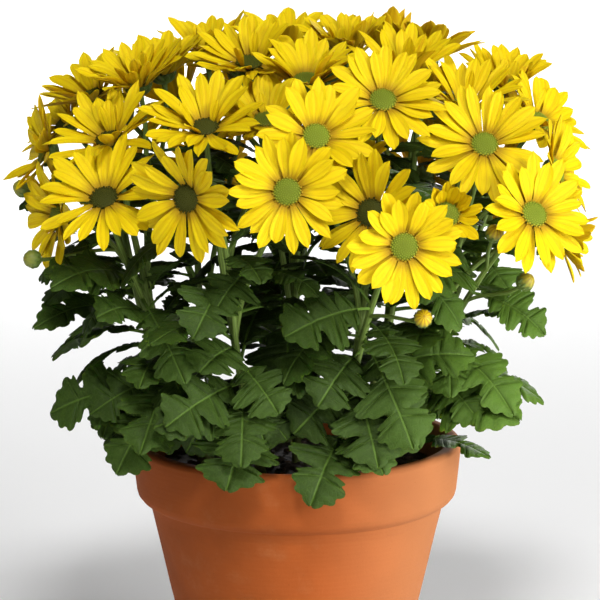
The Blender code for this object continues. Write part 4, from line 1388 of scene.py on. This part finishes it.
class LeafSettings(bpy.types.PropertyGroup):
    """Colours and thickness of the leaves and stems"""

    green: color_setting("Green", "Colour of the leaves", (0.026, 0.051, 0.005))
    vein: color_setting("Vein", "Colour of the leaves' veins", (0.10, 0.18, 0.025))
    underside: color_setting("Underside", "Colour of the leaves' undersides", (0.06, 0.10, 0.02))
    stem: color_setting("Stem", "Colour of the stems", (0.145, 0.22, 0.04))
    thickness: length_setting("Leaf thickness", "Thickness of a leaf's blade", 0.0005, 0.0003, 0.001)


class StageSettings(bpy.types.PropertyGroup):
    """The floor, the lights and the camera"""

    floor: color_setting("Floor", "Colour of the floor and backdrop", (0.96, 0.96, 0.96))
    key: power_setting("Key light", "Strength of the light from the right", 62.0)
    low: power_setting("Low light", "Strength of the narrow light on the pot's right", 80.0)
    top: power_setting("Top light", "Strength of the light from above the camera", 67.0)
    backdrop: power_setting("Backdrop light", "Strength of the light on the backdrop", 30.0)
    rear: FloatProperty(name="Rear light", description="Strength of the low, even light from behind",
                        default=1.1, min=0, max=10)
    soft: FloatProperty(name="Soft light", description="Strength of the light from all around",
                        default=0.11, min=0, max=2)
    lens: FloatProperty(name="Lens", description="The camera's lens", unit="CAMERA",
                        default=198.7, min=20, max=400)
    distance: length_setting("Distance", "From the camera to the middle of the view", 1.6, 0.5, 5)


# The pieces


class CHRYSANTHEMUM_OT_pot(bpy.types.Operator):
    """Make the terracotta pot"""

    bl_idname = "chrysanthemum.pot"
    bl_label = "Terracotta pot"

    def execute(self, context):
        foot = arc((FOOT_RADIUS - 1, FOOT_ROUND), FOOT_ROUND, 270, 360, 3)
        body = [between((FOOT_RADIUS + 0.2, FOOT_ROUND), (SHOULDER_RADIUS, SHOULDER_HEIGHT), t)
                for t in np.linspace(0.02, 1, 22)]
        rise = COLLAR_RADIUS - SHOULDER_RADIUS
        under = [(SHOULDER_RADIUS + 0.5, SHOULDER_HEIGHT + 0.8),
                 (SHOULDER_RADIUS + 0.38 * rise, SHOULDER_HEIGHT + 1.6),
                 (SHOULDER_RADIUS + 0.68 * rise, SHOULDER_HEIGHT + 3.0),
                 (COLLAR_RADIUS - 0.7, COLLAR_FOOT - 2.2), (COLLAR_RADIUS - 0.1, COLLAR_FOOT)]
        top = POT_HEIGHT - LIP
        collar = [between((COLLAR_RADIUS, COLLAR_FOOT), (RIM_RADIUS, top), t) for t in (0.25, 0.5, 0.75)]
        lip = arc((RIM_RADIUS - LIP, top), LIP, 0, 90, 6) + arc((MOUTH_RADIUS + LIP, top), LIP, 90, 180, 6)
        inside = [between((MOUTH_RADIUS, top), (FLOOR_RADIUS, FLOOR), t) for t in (0.1, 0.2, 0.5, 1)]
        drain = arc((DRAIN_RADIUS + 0.8, FLOOR - 0.8), 0.8, 90, 180, 3) + [(DRAIN_RADIUS, 0)]

        def wobble(turn, height):
            place = Vector((math.cos(turn), math.sin(turn), height * 0.02))
            return 0.22 * noise.noise(place * 1.7) + 0.07 * noise.noise(place * 7)

        points, faces = turned(foot + body + under + collar + lip + inside + drain, 192, wobble)
        piece = Piece()
        piece.add(points, faces)
        piece.make("terracotta_pot", terracotta(), "terracotta", ["pot"], 40)
        return {"FINISHED"}


class CHRYSANTHEMUM_OT_soil(bpy.types.Operator):
    """Make the crumbly soil in the pot"""

    bl_idname = "chrysanthemum.soil"
    bl_label = "Soil"

    def execute(self, context):
        sizes = context.scene.chrysanthemum_pot
        draw = random.Random(SEED)

        def mouth(height):
            return FLOOR_RADIUS + (MOUTH_RADIUS - FLOOR_RADIUS) * (height - FLOOR) / (POT_HEIGHT - LIP - FLOOR)

        def surface(x, y):
            reach = math.hypot(x, y) / 71
            lump = noise.noise(Vector((x, y, 3)) * 0.09) * 1.6 + noise.noise(Vector((x, y, 9)) * 0.35) * 0.8
            return SOIL_TOP + SOIL_CROWN * (1 - reach ** 2) + lump - 1.0

        low = FLOOR + SOIL_LIFT
        edge = mouth(SOIL_TOP) - SOIL_GAP
        rings = [edge * r for r in np.linspace(1, 0.04, 34)]
        profile = [(0, low), (mouth(low) - SOIL_GAP, low)]
        profile += [(r, SOIL_TOP - 1) for r in rings] + [(0, SOIL_TOP)]
        points, faces = turned(profile, 110)
        points = np.array(points)
        for point in points:
            if point[2] > SOIL_TOP - 1.5:
                point[2] = surface(point[0], point[1])
        piece = Piece()
        piece.add(points, faces, None, (0.1, 0, 0))
        ball = [(0, -1), (0.78, -0.62), (1, 0), (0.78, 0.62), (0, 1)]
        for _ in range(sizes.crumbs):
            turn, reach = draw.uniform(0, math.tau), CRUMB_REACH * math.sqrt(draw.uniform(0, 1))
            x, y = reach * math.cos(turn), reach * math.sin(turn)
            size = sizes.crumb / MM * draw.uniform(0.25, 1) ** 1.5
            form, sides = turned(ball, 7)
            form = np.array(form) * (size * draw.uniform(0.8, 1.5), size, size * draw.uniform(0.5, 0.8))
            lumps = [noise.noise(Vector(p) * 0.9 + Vector((x, y, 0))) for p in form]
            form *= 1 + 0.28 * np.array(lumps)[:, None]
            spin = draw.uniform(0, math.tau)
            cos, sin = math.cos(spin), math.sin(spin)
            swing = np.array([[cos, sin, 0], [-sin, cos, 0], [0, 0, 1]])
            form = form @ swing + (x, y, surface(x, y) + size * 0.2)
            piece.add(form, sides, None, (draw.uniform(0, 1) ** 2, 0, 0))
        piece.make("potting_mix", potting_mix(), "potting_soil", ["soil"], 60)
        return {"FINISHED"}


class CHRYSANTHEMUM_OT_stems(bpy.types.Operator):
    """Make the stems, the stalks and the buds"""

    bl_idname = "chrysanthemum.stems"
    bl_label = "Stems and buds"

    def execute(self, context):
        draw = random.Random(SEED + 1)
        stems = [Piece() for _ in ROOT_AZIMUTHS]
        buds = [Piece() for _ in ROOT_AZIMUTHS]
        for number, stalks in enumerate(plan_stems()):
            azimuth = ROOT_AZIMUTHS[number]
            out = heading(azimuth) if azimuth is not None else np.zeros(3)
            root = out * ROOT_RADIUS + UP * (SOIL_TOP - ROOT_DEPTH)
            for k, stalk in enumerate(stalks):
                add_stalk(stems[number], stalk, None if k else root, draw)
        for foot, facing, yellow in BUDS:
            add_bud(stems, buds, foot, facing, yellow, draw)
        for number, piece in enumerate(stems):
            piece.make(f"stalks_{number + 1}", stem_finish(), "foliage", [f"leafy_stem_{number + 1}"], 80)
        for number, piece in enumerate(buds):
            if piece.count:
                piece.make(f"buds_{number + 1}", bud_finish(), "foliage", [f"leafy_stem_{number + 1}"])
        return {"FINISHED"}


class CHRYSANTHEMUM_OT_leaves(bpy.types.Operator):
    """Make the lobed leaves"""

    bl_idname = "chrysanthemum.leaves"
    bl_label = "Leaves"

    def execute(self, context):
        thick = context.scene.chrysanthemum_leaves.thickness / MM
        draw = random.Random(SEED + 2)
        for number, leaves in enumerate(placed_leaves()):
            piece = Piece()
            for base, tip, face, width in leaves:
                add_leaf(piece, base, tip, face, width, draw, thick)
            for base, tip, face, width in inner_leaves()[number]:
                deep = math.hypot(tip[0], tip[1]) < DEEP_LEAF
                add_leaf(piece, base, tip, face, width, draw, thick, INNER_COLUMNS, deep)
            if not piece.count:
                raise RuntimeError(f"leafy stem {number + 1} has no leaf")
            piece.make(f"leaves_{number + 1}", leaf_finish(), "foliage", [f"leafy_stem_{number + 1}"])
        return {"FINISHED"}


class CHRYSANTHEMUM_OT_rays(bpy.types.Operator):
    """Make the yellow rays of every bloom"""

    bl_idname = "chrysanthemum.rays"
    bl_label = "Rays"

    def execute(self, context):
        thick = context.scene.chrysanthemum_blooms.thickness / MM
        draw = random.Random(SEED + 3)
        placed = Placed()
        for number, stalks in enumerate(plan_stems()):
            piece = Piece()
            for stalk in stalks:
                add_rays(piece, stalk.bloom, draw, thick, placed)
                placed.gather()
            piece.make(f"rays_{number + 1}", ray_finish(), "rays", [stalk.bloom.name for stalk in stalks])
        return {"FINISHED"}


class CHRYSANTHEMUM_OT_heads(bpy.types.Operator):
    """Make the discs and the green cups of the blooms"""

    bl_idname = "chrysanthemum.heads"
    bl_label = "Discs and cups"

    def execute(self, context):
        florets = context.scene.chrysanthemum_blooms.florets
        draw = random.Random(SEED + 4)
        for number, stalks in enumerate(plan_stems()):
            discs, cups = Piece(), Piece()
            for stalk in stalks:
                add_disc(discs, stalk.bloom, draw, florets)
                add_cup(cups, stalk.bloom, draw)
            discs.make(f"discs_{number + 1}", disc_finish(), "foliage", [f"leafy_stem_{number + 1}"], 40)
            cups.make(f"cups_{number + 1}", cup_finish(), "foliage", [f"leafy_stem_{number + 1}"])
        return {"FINISHED"}


def add_light(name, kind, power, place, aim, **settings):
    """Adds a light that shines from its place towards its aim."""
    light = bpy.data.lights.new(name, kind)
    light.energy = power
    for key, value in settings.items():
        setattr(light, key, value)
    lamp = bpy.data.objects.new(name, light)
    lamp.location = place
    lamp.rotation_euler = (Vector(aim) - Vector(place)).to_track_quat("-Z", "Y").to_euler()
    bpy.context.scene.collection.objects.link(lamp)


class CHRYSANTHEMUM_OT_stage(bpy.types.Operator):
    """Make the floor, the lights and the camera"""

    bl_idname = "chrysanthemum.stage"
    bl_label = "Floor, lights and camera"

    def execute(self, context):
        sizes = context.scene.chrysanthemum_stage
        bend = np.linspace(0.1, math.pi / 2, 12)
        profile = [(1.0, 0.0), (FLOOR_REACH - 0.2, 0.0), (FLOOR_REACH, 0.0)]
        profile += [(FLOOR_REACH + WALL_BEND * math.sin(a), WALL_BEND - WALL_BEND * math.cos(a)) for a in bend]
        profile += [(FLOOR_REACH + WALL_BEND, WALL_TOP)]
        sides = FLOOR_SIDES
        turns = [math.tau * k / sides for k in range(sides)]
        vertices = [(r * math.cos(turn), r * math.sin(turn), z) for r, z in profile for turn in turns]
        faces = [tuple(range(sides))]
        for low in range(0, (len(profile) - 1) * sides, sides):
            for k in range(sides):
                after = (k + 1) % sides
                faces.append((low + k, low + sides + k, low + sides + after, low + after))
        mesh = bpy.data.meshes.new("floor_and_backdrop")
        mesh.from_pydata(vertices, [], faces)
        mesh.shade_smooth()
        f = Finish("pale_backdrop")
        floor = tuple(sizes.floor)
        color = f.mix(f.ramp(f.noise(f.place(), 3, 2), 0.2, 0.8), shade(floor, 0.995), floor)
        mesh.materials.append(f.done(color, 0.9, Specular_IOR_Level=0.1))
        backdrop = bpy.data.objects.new("floor_and_backdrop", mesh)
        context.scene.collection.objects.link(backdrop)

        world = bpy.data.worlds.new("soft_studio")
        world.use_nodes = True
        world.node_tree.nodes["Background"].inputs[0].default_value = (1.0, 1.0, 1.0, 1)
        world.node_tree.nodes["Background"].inputs[1].default_value = sizes.soft
        context.scene.world = world
        for name, place, aim, size, spread in SOFTBOXES:
            power = getattr(sizes, name)
            add_light(name, "AREA", power, place, aim, size=size, spread=math.radians(spread))
        add_light("low", "SPOT", sizes.low, LOW_PLACE, LOW_AIM,
                  spot_size=math.radians(LOW_CONE), spot_blend=1.0, shadow_soft_size=LOW_SIZE)
        add_light("rear", "SUN", sizes.rear, (0, 0, 0), REAR_WAY, angle=math.radians(REAR_WIDTH))

        camera = bpy.data.objects.new("camera", bpy.data.cameras.new("camera"))
        camera.data.lens = sizes.lens
        camera.data.sensor_width = SENSOR_WIDTH
        looked_at = Vector(VIEW_MIDDLE)
        camera.location = looked_at + Vector(heading(0, VIEW_RISE)) * sizes.distance
        camera.rotation_euler = (looked_at - camera.location).to_track_quat("-Z", "Y").to_euler()
        context.scene.collection.objects.link(camera)
        context.scene.camera = camera
        context.scene.view_settings.view_transform = "Standard"
        return {"FINISHED"}


class CHRYSANTHEMUM_PT_sidebar(bpy.types.Panel):
    """Sizes, colours and pieces of the pot chrysanthemum"""

    bl_label = "Pot chrysanthemum"
    bl_idname = "CHRYSANTHEMUM_PT_sidebar"
    bl_space_type = "VIEW_3D"
    bl_region_type = "UI"
    bl_category = "Chrysanthemum"

    def draw(self, context):
        for group in GROUPS:
            box = self.layout.box()
            settings = getattr(context.scene, group)
            for key in GROUPS[group].__annotations__:
                box.prop(settings, key)
        for operator in OPERATORS:
            self.layout.operator(operator.bl_idname)


GROUPS = {
    "chrysanthemum_pot": PotSettings,
    "chrysanthemum_blooms": BloomSettings,
    "chrysanthemum_leaves": LeafSettings,
    "chrysanthemum_stage": StageSettings,
}
OPERATORS = (CHRYSANTHEMUM_OT_pot, CHRYSANTHEMUM_OT_soil, CHRYSANTHEMUM_OT_stems, CHRYSANTHEMUM_OT_leaves,
             CHRYSANTHEMUM_OT_rays, CHRYSANTHEMUM_OT_heads, CHRYSANTHEMUM_OT_stage)
CLASSES = (*GROUPS.values(), *OPERATORS, CHRYSANTHEMUM_PT_sidebar)


def register():
    """Registers the settings, the operators and the panel."""
    for part in CLASSES:
        bpy.utils.register_class(part)
    for group, settings in GROUPS.items():
        setattr(bpy.types.Scene, group, PointerProperty(type=settings))


def unregister():
    """Removes the settings, the operators and the panel."""
    for group in GROUPS:
        delattr(bpy.types.Scene, group)
    for part in reversed(CLASSES):
        bpy.utils.unregister_class(part)


def main():
    """Makes every piece and the stage."""
    register()
    for old in list(bpy.context.scene.objects):
        if old.name in ("Cube", "Light", "Camera"):
            bpy.data.objects.remove(old)
    bpy.ops.chrysanthemum.pot()
    bpy.ops.chrysanthemum.soil()
    bpy.ops.chrysanthemum.stems()
    bpy.ops.chrysanthemum.leaves()
    bpy.ops.chrysanthemum.rays()
    bpy.ops.chrysanthemum.heads()
    bpy.ops.chrysanthemum.stage()
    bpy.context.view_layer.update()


if __name__ == "__main__":
    main()
